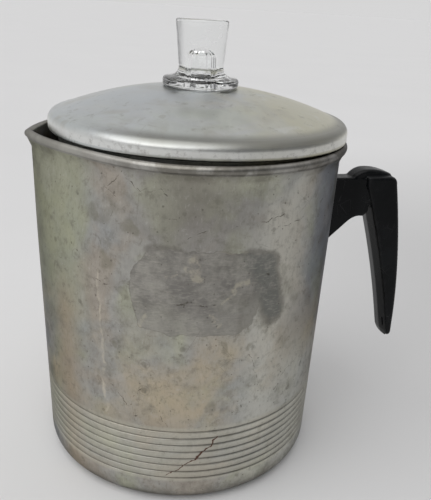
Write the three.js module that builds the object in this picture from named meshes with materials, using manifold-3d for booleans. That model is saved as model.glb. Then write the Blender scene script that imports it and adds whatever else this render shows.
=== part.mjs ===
// Stovetop coffee percolator: drawn aluminium pot, lid with a glass knob, moulded handle,
// and the pump and basket that stand inside.
//
// Millimetres, +Z up. The origin is the centre of the pot's flat base, on the pot's axis.
// The handle points along +X and the pouring lip along -X.

import * as THREE from 'three';
import { mergeVertices } from 'three/addons/utils/BufferGeometryUtils.js';
import Module from 'manifold-3d';

const wasm = await Module();
wasm.setup();

// ---------------------------------------------------------------- driving sizes

// Gap kept between pieces that touch in the real object.
const contactGap = 0.3;

// Pot
const potHeight = 190;
const potRadius = 82.8;
const potWall = 1.2;
const baseCornerRadius = 10;
const beadRadius = 2.1;
const grooveCount = 8;
const grooveFirstZ = 18.1;
const groovePitch = 4.45;
const grooveDepth = 0.35;
const grooveWidth = 1.2;

// Pouring lip: the tip stands out and the rim is drawn in on both sides of it.
const lipTipRise = 0.02;
const lipTipSpread = 9;
const lipShoulderDraw = 0.096;
const lipShoulderAngle = 34;
const lipShoulderSpread = 30;
const lipDepth = 58;

// Lid. It lies against the handle side of the mouth, held there by the drawn-in shoulders.
const lidShift = 6;
const lidSheet = 1;
const lidEdgeHeight = 4.1;
const lidShoulderRadius = 4.8;
const lidDomeHeight = 12.7;
const lidDomePower = 2.2;
const lidSkirtClearance = 1;
const lidSkirtDepth = 8;

// Glass knob
const knobFlangeRadius = 20;
const knobFlangeThickness = 4.4;
const knobNeckRadius = 11.6;
const knobNeckRise = 9;
const knobNeckFillet = 2.4;
const knobTopRadius = 13.9;
const knobHeight = 32;
const knobCavityRadius = 5.5;
const knobCavityHeight = 19;
const knobCavityFlare = 0.8;
const knobStubRadius = 12;
const knobLugReach = 3.2;
const knobLugHeight = 2.6;
const knobLugWidth = 6;
const knobLugCount = 4;

// Handle: a narrow stem, and a wider grip that leans outwards and tapers to its tip
const gripTopDrop = 26.6;
const gripLength = 113.9;
const gripStandOff = 65.6;
const gripTipRise = 4.5;
const gripLean = 16.4;
const gripTopThickness = 22.2;
const gripTipThickness = 4;
const gripWidth = 18;
const gripShoulder = 5.2;
const archDrop = 22;
const stemTopDrop = 0.8;
const stemDepthAtPot = 47;
const stemWidth = 11;
const socketWall = 1.4;
const socketGap = 0.4;
const handleEdgeRound = 1.5;
const thumbRestLength = 25;
const thumbRestRise = 4;

// Handle bracket, rivets and screw
const saddleThickness = 2;
const saddleHeight = 28;
const saddleCover = 2.6;
const bossLength = 12;
const bossToRivet = 0.8;
const rivetRadius = 1.8;
const rivetHeadRadius = 3.2;
const rivetHeadHeight = 1.1;
const rivetEdge = 0.3;
const screwRadius = 2;
const screwClearance = 0.4;
const screwHeadRadius = 4;
const screwHeadHeight = 2.6;
const screwSlotWidth = 0.9;
const screwStartDepth = 3;
const screwSeatDepth = 4;
const washerThickness = 1;
const washerInset = 0.1;

// Pump
const tubeRadius = 4.8;
const tubeBore = 4;
const tubeTopClearance = 5;
const tubeRunningGap = 0.6;
const footRadius = 36;
const footSheet = 1;
const footFlatMargin = 1.4;
const footSkirtHeight = 2.4;
const footNeckHeight = 14;
const footHoleCount = 8;
const footHoleRadius = 2.6;
const cageSheet = 0.8;
const cageLift = 2.1;
const cageHoleRadius = 3.5;
const valveRadius = 8;
const valveSideGap = 2.8;
const valveThickness = 0.8;
const valveTravel = 3;
const valveHeadroom = 0.5;
const stopHeight = 5;
const stopWidth = 3.3;
const stopChamfer = 1.5;

// Basket and its cover. Each ring of holes is given by its number of holes.
const basketRadius = 58;
const basketHeight = 56;
const basketRimDrop = 18;
const basketSheet = 0.8;
const basketCornerRadius = 5;
const basketBeadRadius = 1.2;
const basketHoleRadius = 1.3;
const basketHoleCounts = [8, 12, 18];
const sleeveWall = 0.9;
const sleeveFlangeWidth = 3.2;
const coverDish = 3;
const coverRimDepth = 4;
const coverCollarHeight = 7;
const coverHoleRadius = 1.5;
const coverHoleCounts = [8, 14, 20];
const holeRingMargin = 8.5;

// Mesh fineness: sides of a full turn
const potSides = 52;
const lidSides = 44;
const bodySides = 40;
const smallSides = 20;
const holeSides = 6;

// How far joined solids run into each other, and cutting solids run past a face.
const overlap = 1;

// ---------------------------------------------------------------- derived sizes

// Pot
const potInner = potRadius - potWall;
const beadCentreRadius = potInner + beadRadius;
const beadCentreZ = potHeight - beadRadius;

// Lid: its edge covers the bead on the handle side, and its skirt clears the mouth there.
const lidRadius = beadCentreRadius + beadRadius - lidShift - contactGap;
const lidSkirtRadius = potInner - lidShift - lidSkirtClearance;
const lidEdgeZ = potHeight + contactGap;
const lidShoulderZ = lidEdgeZ + lidEdgeHeight;
const lidDomeRadius = lidRadius - lidShoulderRadius;
const lidDomeBaseZ = lidShoulderZ + lidShoulderRadius;
const lidTopZ = lidDomeBaseZ + lidDomeHeight;
const lidHoleRadius = knobStubRadius + tubeRunningGap;

// Knob
const knobSeatZ = lidTopZ + contactGap;
const knobStubZ = lidTopZ - lidSheet - contactGap - knobLugHeight;

// Handle, hung from the rim
const gripTopZ = potHeight - gripTopDrop;
const gripTipZ = gripTopZ - gripLength;
const gripReach = potRadius + gripStandOff;
const stemTopZ = gripTopZ - stemTopDrop;

// Bracket and rivets, fitted inside the stem
const wallFace = potRadius + contactGap;
const saddleFace = wallFace + saddleThickness;
const saddleWidth = stemWidth - 2 * (socketWall + socketGap);
const saddleZ = stemTopZ - saddleCover - saddleHeight / 2;
const rivetSpacing = saddleHeight - 2 * (rivetHeadRadius + rivetEdge);
const bossHeight = rivetSpacing - 2 * (rivetHeadRadius + bossToRivet);
const bossEnd = saddleFace + bossLength;
const washerRadius = screwHeadRadius - washerInset;

// Pump foot, stacked up from the pot's floor round the loose valve disc
const footFloorZ = potWall + contactGap;
const cageFloorZ = footFloorZ + cageLift;
const valveZ = cageFloorZ + cageSheet + contactGap;
const footFlatZ = valveZ + valveThickness + valveTravel + valveHeadroom;
const cageRadius = valveRadius + valveSideGap + cageSheet;
const footFlatRadius = cageRadius + footFlatMargin;
const tubeTopZ = knobStubZ - tubeTopClearance;
const neckInner = tubeRadius + contactGap;
const stopRadius = neckInner + stopWidth;

// Basket, hung below the rim
const basketTopZ = potHeight - basketRimDrop;
const basketFloorZ = basketTopZ - basketHeight;
const sleeveBore = tubeRadius + tubeRunningGap;
const sleeveRadius = sleeveBore + sleeveWall;
const sleeveFlangeRadius = sleeveRadius + sleeveFlangeWidth;
const sleeveFlangeZ = basketFloorZ - contactGap - sleeveWall;

// ---------------------------------------------------------------- helpers

const deg = (angle) => THREE.MathUtils.degToRad(angle);

// Points of an arc in a profile, from one angle to another, both in degrees.
function arc(centreR, centreZ, radius, from, to, steps) {
  const points = [];
  for (let i = 0; i <= steps; i += 1) {
    const angle = deg(from + (to - from) * i / steps);
    points.push([centreR + radius * Math.cos(angle), centreZ + radius * Math.sin(angle)]);
  }
  return points;
}

// Turns a three.js geometry into a manifold solid with merged vertices, facing out.
function solidOf(geometry) {
  const bare = new THREE.BufferGeometry();
  bare.setAttribute('position', geometry.getAttribute('position').clone());
  if (geometry.index) bare.setIndex(geometry.index.clone());
  const merged = mergeVertices(bare, 1e-4);
  const position = merged.getAttribute('position');
  const corner = (i) => new THREE.Vector3().fromBufferAttribute(position, i);
  const faces = [];
  let volume = 0;
  for (let i = 0; i < merged.index.count; i += 3) {
    const [a, b, c] = [0, 1, 2].map((k) => merged.index.getX(i + k));
    if (a === b || b === c || c === a) continue;
    faces.push([a, b, c]);
    volume += corner(a).dot(corner(b).cross(corner(c)));
  }
  const facing = volume > 0 ? faces : faces.map(([a, b, c]) => [a, c, b]);
  return new wasm.Manifold(new wasm.Mesh({
    numProp: 3,
    vertProperties: Float32Array.from(position.array),
    triVerts: Uint32Array.from(facing.flat()),
  }));
}

// Full turn of a closed [radius, z] profile about the Z axis.
function turnedGeometry(profile, sides) {
  const closed = [...profile, profile[0]].map(([r, z]) => new THREE.Vector2(r, z));
  return new THREE.LatheGeometry(closed, sides).rotateX(Math.PI / 2);
}

function turned(profile, sides) {
  return solidOf(turnedGeometry(profile, sides));
}

function ring(inner, outer, fromZ, toZ, sides) {
  return turned([[inner, fromZ], [outer, fromZ], [outer, toZ], [inner, toZ]], sides);
}

function rodZ(radius, fromZ, toZ, sides) {
  return turned([[0, fromZ], [radius, fromZ], [radius, toZ], [0, toZ]], sides);
}

// Rod along +X between two X values, at a height on the handle's plane.
function rodX(radius, fromX, toX, z, sides) {
  return rodZ(radius, fromX, toX, sides).rotate([0, 90, 0]).translate([0, 0, z]);
}

function block(sizeX, sizeY, sizeZ, centre) {
  return solidOf(new THREE.BoxGeometry(sizeX, sizeY, sizeZ)).translate(centre);
}

// One ring of holes through a sheet, as one solid to take away.
function drillRing(ringRadius, count, holeRadius, fromZ, toZ) {
  const hole = rodZ(holeRadius, fromZ, toZ, holeSides).translate([ringRadius, 0, 0]);
  const turns = Array.from({ length: count }, (_, i) => 360 * i / count);
  return wasm.Manifold.union(turns.map((turn) => hole.rotate([0, 0, turn])));
}

// Rings of holes, spaced evenly over a flat ring of sheet and kept clear of its edges.
function drillRings(counts, holeRadius, flatFrom, flatTo, fromZ, toZ) {
  const first = flatFrom + holeRingMargin;
  const pitch = (flatTo - holeRingMargin - first) / (counts.length - 1);
  return wasm.Manifold.union(
    counts.map((count, i) => drillRing(first + pitch * i, count, holeRadius, fromZ, toZ)),
  );
}

const finishes = {
  aluminium: { color: 0xb9bab4, roughness: 0.42, metalness: 1 },
  steel: { color: 0x9a9da0, roughness: 0.35, metalness: 1 },
  phenolic: { color: 0x15161a, roughness: 0.4, metalness: 0 },
  glass: { color: 0xdfe8e6, roughness: 0.05, metalness: 0 },
};

const group = new THREE.Group();

function addPart(name, solid, finish) {
  const mesh = solid.getMesh();
  const geometry = new THREE.BufferGeometry();
  geometry.setAttribute('position', new THREE.BufferAttribute(mesh.vertProperties, 3));
  geometry.setIndex(new THREE.BufferAttribute(mesh.triVerts, 1));
  geometry.computeVertexNormals();
  const part = new THREE.Mesh(geometry, new THREE.MeshStandardMaterial(finishes[finish]));
  part.name = name;
  group.add(part);
}

// ---------------------------------------------------------------- pot

// Radial factor of the rim at a given angle from the lip's tip.
function lipFactor(angleFromTip) {
  const draw = Math.exp(-(((angleFromTip - lipShoulderAngle) / lipShoulderSpread) ** 2));
  const tip = Math.exp(-angleFromTip / lipTipSpread);
  return 1 - lipShoulderDraw * draw + lipTipRise * tip;
}

// Presses the pouring lip into the top of a turned pot, fading out down the wall.
function pressLip(geometry) {
  const position = geometry.getAttribute('position');
  for (let i = 0; i < position.count; i += 1) {
    const x = position.getX(i);
    const y = position.getY(i);
    const depth = beadCentreZ - position.getZ(i);
    const fade = 1 - THREE.MathUtils.smoothstep(depth, 0, lipDepth);
    const angleFromTip = THREE.MathUtils.radToDeg(Math.abs(Math.atan2(y, -x)));
    const factor = 1 + fade * (lipFactor(angleFromTip) - 1);
    position.setXY(i, x * factor, y * factor);
  }
  return geometry;
}

function grooveProfile() {
  return Array.from({ length: grooveCount }, (_, i) => grooveFirstZ + i * groovePitch)
    .flatMap((z) => [
      [potRadius, z - grooveWidth / 2],
      [potRadius - grooveDepth, z],
      [potRadius, z + grooveWidth / 2],
    ]);
}

function potShell() {
  const lipRows = [0.8, 0.6, 0.4, 0.2].map((share) => beadCentreZ - lipDepth * share);
  const beadFoot = beadCentreZ - beadRadius;
  const profile = [
    [0, 0],
    ...arc(potRadius - baseCornerRadius, baseCornerRadius, baseCornerRadius, -90, 0, 6),
    ...grooveProfile(),
    [potRadius, beadCentreZ - lipDepth],
    ...lipRows.map((z) => [potRadius, z]),
    [potRadius, beadFoot],
    ...arc(beadCentreRadius, beadCentreZ, beadRadius, -60, 180, 9),
    ...lipRows.toReversed().map((z) => [potInner, z]),
    [potInner, beadCentreZ - lipDepth],
    ...arc(potRadius - baseCornerRadius, baseCornerRadius, baseCornerRadius - potWall, 0, -90, 5),
    [0, potWall],
  ];
  const rivetHoles = rivetHeights().map((z) => rodX(
    rivetRadius + contactGap, potInner - potWall, potRadius + potWall, z, smallSides,
  ));
  return rivetHoles.reduce(
    (solid, hole) => solid.subtract(hole),
    solidOf(pressLip(turnedGeometry(profile, potSides))),
  );
}

// ---------------------------------------------------------------- lid

function domeZ(radius) {
  return lidDomeBaseZ + lidDomeHeight * (1 - (radius / lidDomeRadius) ** lidDomePower);
}

// Sheet folded back under its edge, then down into the mouth as a skirt.
function lidShell() {
  const seatRadius = knobFlangeRadius + lidSheet;
  const domeSteps = 9;
  const domeRadii = Array.from({ length: domeSteps }, (_, i) => (
    seatRadius + (lidDomeRadius - seatRadius) * (i + 1) / (domeSteps + 1)
  ));
  const seatRise = (lidTopZ - domeZ(seatRadius)) / (lidDomeRadius - seatRadius);
  const outerZ = (radius) => domeZ(radius) + seatRise * (lidDomeRadius - radius);
  const skirtTopZ = lidEdgeZ + 3 * lidSheet;
  const innerShoulder = lidShoulderRadius - lidSheet;
  const profile = [
    [lidHoleRadius, lidTopZ],
    [seatRadius, lidTopZ],
    ...domeRadii.map((r) => [r, outerZ(r)]),
    ...arc(lidDomeRadius, lidShoulderZ, lidShoulderRadius, 90, 0, 6),
    ...arc(lidRadius - lidSheet, lidEdgeZ + lidSheet, lidSheet, 0, -90, 3),
    [lidSkirtRadius, lidEdgeZ],
    [lidSkirtRadius, potHeight - lidSkirtDepth],
    [lidSkirtRadius - lidSheet, potHeight - lidSkirtDepth],
    [lidSkirtRadius - lidSheet, skirtTopZ],
    [lidDomeRadius, skirtTopZ + lidSheet],
    ...arc(lidDomeRadius, lidShoulderZ, innerShoulder, 30, 90, 4),
    ...domeRadii.toReversed().map((r) => [r, outerZ(r) - lidSheet]),
    [seatRadius, lidTopZ - lidSheet],
    [lidHoleRadius, lidTopZ - lidSheet],
  ];
  const notch = block(
    2 * (knobStubRadius + knobLugReach + tubeRunningGap),
    knobLugWidth + 2 * tubeRunningGap,
    4 * lidSheet,
    [0, 0, lidTopZ - lidSheet / 2],
  );
  return lugTurns().slice(0, knobLugCount / 2)
    .map((turn) => notch.rotate([0, 0, turn + lockTurn]))
    .reduce((solid, cut) => solid.subtract(cut), turned(profile, lidSides))
    .translate([lidShift, 0, 0]);
}

// ---------------------------------------------------------------- glass knob

// Turn from lugs under the sheet to lugs in line with the notches.
const lockTurn = 180 / knobLugCount;

function lugTurns() {
  return Array.from({ length: knobLugCount }, (_, i) => 360 * i / knobLugCount);
}

function glassKnob() {
  const base = knobSeatZ;
  const flangeTop = base + knobFlangeThickness;
  const neckZ = base + knobNeckRise;
  const topZ = base + knobHeight;
  const domeCentreZ = base + knobCavityHeight - knobCavityRadius;
  const topRound = 1.4;
  const edgeRound = 1.2;
  const glass = turned([
    [knobStubRadius, knobStubZ],
    [knobStubRadius, base],
    [knobFlangeRadius - edgeRound, base],
    ...arc(knobFlangeRadius - edgeRound, base + edgeRound, edgeRound, -60, 0, 2),
    ...arc(knobFlangeRadius - edgeRound, flangeTop - edgeRound, edgeRound, 0, 75, 3),
    [knobNeckRadius + knobNeckFillet, neckZ - knobNeckFillet],
    [knobNeckRadius, neckZ],
    ...arc(knobTopRadius - topRound, topZ - topRound, topRound, 0, 90, 4),
    [0, topZ],
    ...arc(0, domeCentreZ, knobCavityRadius, 90, 0, 7),
    [knobCavityRadius + knobCavityFlare, knobStubZ],
  ], bodySides);
  const lug = block(
    knobLugReach + overlap,
    knobLugWidth,
    knobLugHeight,
    [knobStubRadius + (knobLugReach - overlap) / 2, 0, knobStubZ + knobLugHeight / 2],
  );
  return lugTurns().reduce((solid, turn) => solid.add(lug.rotate([0, 0, turn])), glass)
    .translate([lidShift, 0, 0]);
}

// ---------------------------------------------------------------- handle and its fixing

function rivetHeights() {
  return [saddleZ + rivetSpacing / 2, saddleZ - rivetSpacing / 2];
}

function rivet(z) {
  const outerHead = saddleFace + contactGap;
  const innerHead = potInner - contactGap;
  const headMiddle = rivetHeadHeight / 2;
  return rodX(rivetRadius, innerHead - headMiddle, outerHead + headMiddle, z, smallSides)
    .add(rodX(rivetHeadRadius, innerHead - rivetHeadHeight, innerHead, z, smallSides))
    .add(rodX(rivetHeadRadius, outerHead, outerHead + rivetHeadHeight, z, smallSides));
}

function handleBracket() {
  const bottomZ = saddleZ - saddleHeight / 2;
  const band = ring(wallFace, saddleFace, bottomZ, bottomZ + saddleHeight, potSides);
  const saddle = band.intersect(
    block(2 * potRadius, saddleWidth, 2 * saddleHeight, [potRadius, 0, saddleZ]),
  );
  const rootedLength = bossLength + saddleThickness / 2;
  const boss = block(
    rootedLength,
    saddleWidth,
    bossHeight,
    [bossEnd - rootedLength / 2, 0, saddleZ],
  );
  const holeRadius = rivetRadius + contactGap;
  const holes = rivetHeights().map((z) => rodX(
    holeRadius, potRadius - potWall, saddleFace + potWall, z, smallSides,
  ));
  const screwStart = saddleFace + screwStartDepth / 2;
  const screwHole = rodX(screwRadius + contactGap, screwStart, bossEnd + overlap, saddleZ, smallSides);
  return [...holes, screwHole].reduce((solid, cut) => solid.subtract(cut), saddle.add(boss));
}

// Side outline drawn in the XZ plane, pushed to a width centred on the handle's plane.
function sideSlab(outline, width, round) {
  const shape = new THREE.Shape(outline.map(([x, z]) => new THREE.Vector2(x, z)));
  const geometry = new THREE.ExtrudeGeometry(shape, {
    depth: width - 2 * round,
    bevelEnabled: true,
    bevelThickness: round,
    bevelSize: round,
    bevelOffset: -round,
    bevelSegments: 3,
    curveSegments: 1,
  });
  geometry.translate(0, 0, -(width - 2 * round) / 2).rotateX(Math.PI / 2);
  return solidOf(geometry);
}

// X of the grip's outer and inner edges at a share of its height, 0 at the tip, 1 at the shoulder.
const gripOuterX = (share) => gripReach - gripLean * share ** 1.7;
const gripInnerX = (share) => (
  gripOuterX(share) - gripTipThickness - (gripTopThickness - gripTipThickness) * share ** 0.85
);
const gripNeckX = gripInnerX(1);
const gripShoulderZ = gripTopZ - gripShoulder;
const gripLowZ = gripTipZ + gripTipRise;
const gripHeightZ = (share) => gripLowZ + (gripShoulderZ - gripLowZ) * share;
const archZ = gripTopZ - archDrop;

function gripSolid() {
  const outerSteps = 9;
  const innerSteps = 8;
  const archShare = 0.79;
  const outerEdge = Array.from({ length: outerSteps }, (_, i) => i / outerSteps)
    .map((share) => [gripOuterX(share), gripHeightZ(share)]);
  const innerEdge = Array.from({ length: innerSteps + 1 }, (_, i) => archShare * (1 - i / innerSteps))
    .map((share) => [gripInnerX(share), gripHeightZ(share)]);
  const [archFootX, archFootZ] = innerEdge[0];
  const arch = new THREE.QuadraticBezierCurve(
    new THREE.Vector2(gripNeckX, archZ),
    new THREE.Vector2(archFootX, archZ),
    new THREE.Vector2(archFootX, archFootZ),
  );
  const outline = [
    ...outerEdge,
    ...arc(gripOuterX(1) - gripShoulder, gripShoulderZ, gripShoulder, 0, 90, 5),
    [gripNeckX, gripTopZ],
    ...arch.getPoints(3).slice(0, -1).map((point) => [point.x, point.y]),
    ...innerEdge,
    [gripOuterX(0) - gripTipThickness / 2, gripTipZ],
  ];
  return sideSlab(outline, gripWidth, handleEdgeRound);
}

function stemSolid() {
  const bottomZ = stemTopZ - stemDepthAtPot;
  const intoGrip = gripTopThickness / 3;
  const slope = (archZ - bottomZ) / (gripNeckX - potInner);
  const outline = [
    [potInner, bottomZ],
    [gripNeckX + intoGrip, archZ + slope * intoGrip],
    [gripNeckX + intoGrip, stemTopZ],
    [potInner, stemTopZ],
  ];
  return sideSlab(outline, stemWidth, handleEdgeRound / 2);
}

// Raised pad on top of the stem and grip, as [share of its length, share of its rise].
function thumbRest() {
  const padShape = [[0, -0.45], [0.96, -0.4], [0.93, 0.3], [0.7, 0.68], [0.46, 1], [0.2, 1], [0.1, 0.5]];
  const startX = gripOuterX(1) - gripShoulder + overlap - thumbRestLength;
  const outline = padShape.map(([along, up]) => [
    startX + thumbRestLength * along,
    gripTopZ + thumbRestRise * up,
  ]);
  return sideSlab(outline, stemWidth, overlap);
}

const screwSeatX = gripOuterX(1) - screwSeatDepth;

function handleBody() {
  const socketDepth = saddleThickness + rivetHeadHeight + 3 * contactGap;
  const saddleSocket = block(
    2 * socketDepth,
    saddleWidth + 2 * socketGap,
    saddleHeight + 2 * socketGap,
    [wallFace, 0, saddleZ],
  );
  const bossSocket = block(
    bossEnd - wallFace + socketGap,
    saddleWidth + 2 * socketGap,
    bossHeight + 2 * socketGap,
    [(bossEnd + wallFace + socketGap) / 2, 0, saddleZ],
  );
  const rivetSockets = rivetHeights().map((z) => (
    rodX(rivetHeadRadius + socketGap, wallFace, wallFace + socketDepth, z, smallSides)
  ));
  const screwBore = rodX(screwRadius + screwClearance, bossEnd, screwSeatX + overlap, saddleZ, smallSides);
  const headBore = rodX(screwHeadRadius + screwClearance, screwSeatX, gripReach, saddleZ, smallSides);
  const wall = rodZ(wallFace, 0, potHeight, 4 * potSides);
  return [wall, saddleSocket, bossSocket, ...rivetSockets, screwBore, headBore]
    .reduce((solid, cut) => solid.subtract(cut), gripSolid().add(stemSolid()).add(thumbRest()));
}

function handleScrew() {
  const headX = screwSeatX + washerThickness + 2 * contactGap;
  const headMiddleX = headX + screwHeadHeight / 2;
  const slot = block(
    screwHeadHeight,
    2 * screwHeadRadius,
    screwSlotWidth,
    [headX + screwHeadHeight, 0, saddleZ],
  );
  return rodX(screwRadius, saddleFace + screwStartDepth, headMiddleX, saddleZ, smallSides)
    .add(rodX(screwHeadRadius, headX, headX + screwHeadHeight, saddleZ, smallSides))
    .subtract(slot);
}

function lockWasher() {
  const startX = screwSeatX + contactGap;
  const endX = startX + washerThickness;
  const bore = rodX(screwRadius + screwClearance, startX - overlap, endX + overlap, saddleZ, smallSides);
  const split = block(
    4 * washerThickness,
    2 * washerRadius,
    screwSlotWidth,
    [startX, washerRadius, saddleZ],
  );
  return rodX(washerRadius, startX, endX, saddleZ, smallSides).subtract(bore).subtract(split);
}

// ---------------------------------------------------------------- pump

function pumpTube() {
  return ring(tubeBore, tubeRadius, footFlatZ + footSheet, tubeTopZ, smallSides);
}

function pumpFoot() {
  const skirtZ = footFloorZ + footSkirtHeight;
  const neckOuter = neckInner + footSheet;
  const foot = turned([
    [neckInner, footFlatZ],
    [footFlatRadius, footFlatZ],
    [footRadius - footSheet, skirtZ],
    [footRadius - footSheet, footFloorZ],
    [footRadius, footFloorZ],
    [footRadius, skirtZ + footSheet],
    [footFlatRadius, footFlatZ + footSheet],
    [neckOuter, footFlatZ + footSheet],
    [neckOuter, footFlatZ + footNeckHeight],
    [neckInner, footFlatZ + footNeckHeight],
  ], bodySides);
  const holeRing = (footFlatRadius + footRadius) / 2;
  const drillTop = footFlatZ + footSheet + overlap;
  return foot.subtract(drillRing(holeRing, footHoleCount, footHoleRadius, 0, drillTop));
}

function valveCage() {
  const top = footFlatZ - contactGap;
  return turned([
    [cageHoleRadius, cageFloorZ],
    [cageRadius, cageFloorZ],
    [cageRadius, top],
    [cageRadius - cageSheet, top],
    [cageRadius - cageSheet, cageFloorZ + cageSheet],
    [cageHoleRadius, cageFloorZ + cageSheet],
  ], smallSides);
}

function valveWasher() {
  return rodZ(valveRadius, valveZ, valveZ + valveThickness, smallSides);
}

function basketStop() {
  const top = sleeveFlangeZ - contactGap;
  const bottom = top - stopHeight;
  return turned([
    [neckInner, bottom],
    [stopRadius - stopChamfer, bottom],
    [stopRadius, bottom + stopChamfer],
    [stopRadius, top],
    [neckInner, top],
  ], smallSides);
}

// ---------------------------------------------------------------- basket

function basketShell() {
  const corner = basketRadius - basketCornerRadius;
  const cornerZ = basketFloorZ + basketCornerRadius;
  const beadR = basketRadius - basketSheet + basketBeadRadius;
  const beadZ = basketTopZ - basketBeadRadius;
  const floorHole = sleeveRadius + contactGap;
  const floorTopZ = basketFloorZ + basketSheet;
  const shell = turned([
    [floorHole, basketFloorZ],
    ...arc(corner, cornerZ, basketCornerRadius, -90, 0, 4),
    [basketRadius, beadZ - basketBeadRadius],
    ...arc(beadR, beadZ, basketBeadRadius, -60, 180, 6),
    ...arc(corner, cornerZ, basketCornerRadius - basketSheet, 0, -90, 4),
    [floorHole, floorTopZ],
  ], bodySides);
  return shell.subtract(drillRings(
    basketHoleCounts,
    basketHoleRadius,
    sleeveFlangeRadius,
    corner,
    basketFloorZ - overlap,
    floorTopZ + overlap,
  ));
}

function basketSleeve() {
  const top = basketTopZ + contactGap + coverCollarHeight / 2;
  return turned([
    [sleeveBore, sleeveFlangeZ],
    [sleeveFlangeRadius, sleeveFlangeZ],
    [sleeveFlangeRadius, sleeveFlangeZ + sleeveWall],
    [sleeveRadius, sleeveFlangeZ + sleeveWall],
    [sleeveRadius, top],
    [sleeveBore, top],
  ], smallSides);
}

// Shallow dish that spreads the water, with a collar round the sleeve and a turned-down rim.
// Its side slopes at 45 degrees, and the mitre keeps the sheet's thickness round each bend.
function basketCover() {
  const collarInner = sleeveRadius + tubeRunningGap;
  const collarOuter = collarInner + basketSheet;
  const rimInner = basketRadius + 2 * basketBeadRadius - basketSheet + tubeRunningGap;
  const rimOuter = rimInner + basketSheet;
  const seatRadius = basketRadius - 2 * basketSheet - tubeRunningGap;
  const dishRadius = seatRadius - coverDish;
  const mitre = basketSheet * Math.tan(deg(22.5));
  const seatZ = basketTopZ + contactGap;
  const dishZ = seatZ - coverDish;
  const cover = turned([
    [collarInner, dishZ],
    [dishRadius, dishZ],
    [seatRadius, seatZ],
    [rimInner, seatZ],
    [rimInner, seatZ - coverRimDepth],
    [rimOuter, seatZ - coverRimDepth],
    [rimOuter, seatZ + basketSheet],
    [seatRadius - mitre, seatZ + basketSheet],
    [dishRadius - mitre, dishZ + basketSheet],
    [collarOuter, dishZ + basketSheet],
    [collarOuter, dishZ + coverCollarHeight],
    [collarInner, dishZ + coverCollarHeight],
  ], bodySides);
  return cover.subtract(drillRings(
    coverHoleCounts,
    coverHoleRadius,
    collarOuter,
    dishRadius,
    dishZ - overlap,
    dishZ + basketSheet + overlap,
  ));
}

// ---------------------------------------------------------------- assembly

addPart('pot_shell', potShell(), 'aluminium');
addPart('handle_bracket', handleBracket(), 'aluminium');
rivetHeights().forEach((z, i) => addPart(['rivet_upper', 'rivet_lower'][i], rivet(z), 'aluminium'));
addPart('handle', handleBody(), 'phenolic');
addPart('handle_screw', handleScrew(), 'steel');
addPart('lock_washer', lockWasher(), 'steel');
addPart('lid_shell', lidShell(), 'aluminium');
addPart('glass_knob', glassKnob(), 'glass');
addPart('pump_tube', pumpTube(), 'aluminium');
addPart('pump_foot', pumpFoot(), 'aluminium');
addPart('valve_cage', valveCage(), 'aluminium');
addPart('valve_washer', valveWasher(), 'steel');
addPart('basket_stop', basketStop(), 'aluminium');
addPart('basket_shell', basketShell(), 'aluminium');
addPart('basket_sleeve', basketSleeve(), 'aluminium');
addPart('basket_cover', basketCover(), 'aluminium');

export default group;
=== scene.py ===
"""Looks of a stovetop coffee percolator: an aged aluminium pot with a pouring lip, a lid with a
glass knob, a black moulded handle, and the pump and basket inside. Metres, +Z up, handle on +X."""

import math

import bmesh
import bpy
from mathutils import Matrix, Vector


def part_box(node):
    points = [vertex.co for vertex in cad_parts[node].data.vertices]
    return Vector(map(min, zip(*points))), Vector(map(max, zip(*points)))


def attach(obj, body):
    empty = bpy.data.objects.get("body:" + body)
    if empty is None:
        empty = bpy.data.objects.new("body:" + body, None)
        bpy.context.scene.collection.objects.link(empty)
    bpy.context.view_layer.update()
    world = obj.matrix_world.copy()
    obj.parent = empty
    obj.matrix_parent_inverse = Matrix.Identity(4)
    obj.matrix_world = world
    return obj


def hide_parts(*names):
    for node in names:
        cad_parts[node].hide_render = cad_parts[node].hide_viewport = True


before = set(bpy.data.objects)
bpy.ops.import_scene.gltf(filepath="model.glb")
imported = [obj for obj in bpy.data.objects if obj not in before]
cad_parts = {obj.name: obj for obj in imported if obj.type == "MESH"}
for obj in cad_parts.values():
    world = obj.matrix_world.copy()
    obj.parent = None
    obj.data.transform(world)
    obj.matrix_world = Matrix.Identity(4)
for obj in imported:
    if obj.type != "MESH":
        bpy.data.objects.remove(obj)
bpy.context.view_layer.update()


# ---------------------------------------------------------------- pot
# The pot is one deep-drawn aluminium pan, turned smooth, with eight grooves rolled in above its
# rounded base. Its rim is beaded, and the lip is pressed out of it opposite the handle.

mm = 0.001
pot_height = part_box("pot_shell")[1].z
pot_radius = 82.8 * mm
pot_wall = 1.2 * mm
base_corner = 10 * mm
bead_radius = 2.1 * mm
groove_count = 8
groove_first = 18.1 * mm
groove_pitch = 4.45 * mm
groove_depth = 0.42 * mm
groove_width = 1.5 * mm
lip_depth = 58 * mm
lip_tip_rise = 0.02
lip_tip_spread = 9
lip_shoulder_draw = 0.096
lip_shoulder_angle = 34
lip_shoulder_spread = 30
bead_height = pot_height - bead_radius
bead_centre = pot_radius - pot_wall + bead_radius


def arc(centre, height, radius, start, end, steps):
    """Points of an arc in an outline, from one angle to another, both in degrees."""
    angles = [math.radians(start + (end - start) * i / steps) for i in range(steps + 1)]
    return [(centre + radius * math.cos(a), height + radius * math.sin(a)) for a in angles]


def piece_from(name, mesh, sharp=40):
    """Makes a smooth-shaded object of a bmesh, with creases where it turns more than sharp degrees."""
    bmesh.ops.recalc_face_normals(mesh, faces=mesh.faces)
    data = bpy.data.meshes.new(name)
    mesh.to_mesh(data)
    mesh.free()
    data.shade_smooth()
    data.set_sharp_from_angle(angle=math.radians(sharp))
    piece = bpy.data.objects.new(name, data)
    bpy.context.scene.collection.objects.link(piece)
    return piece


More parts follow.
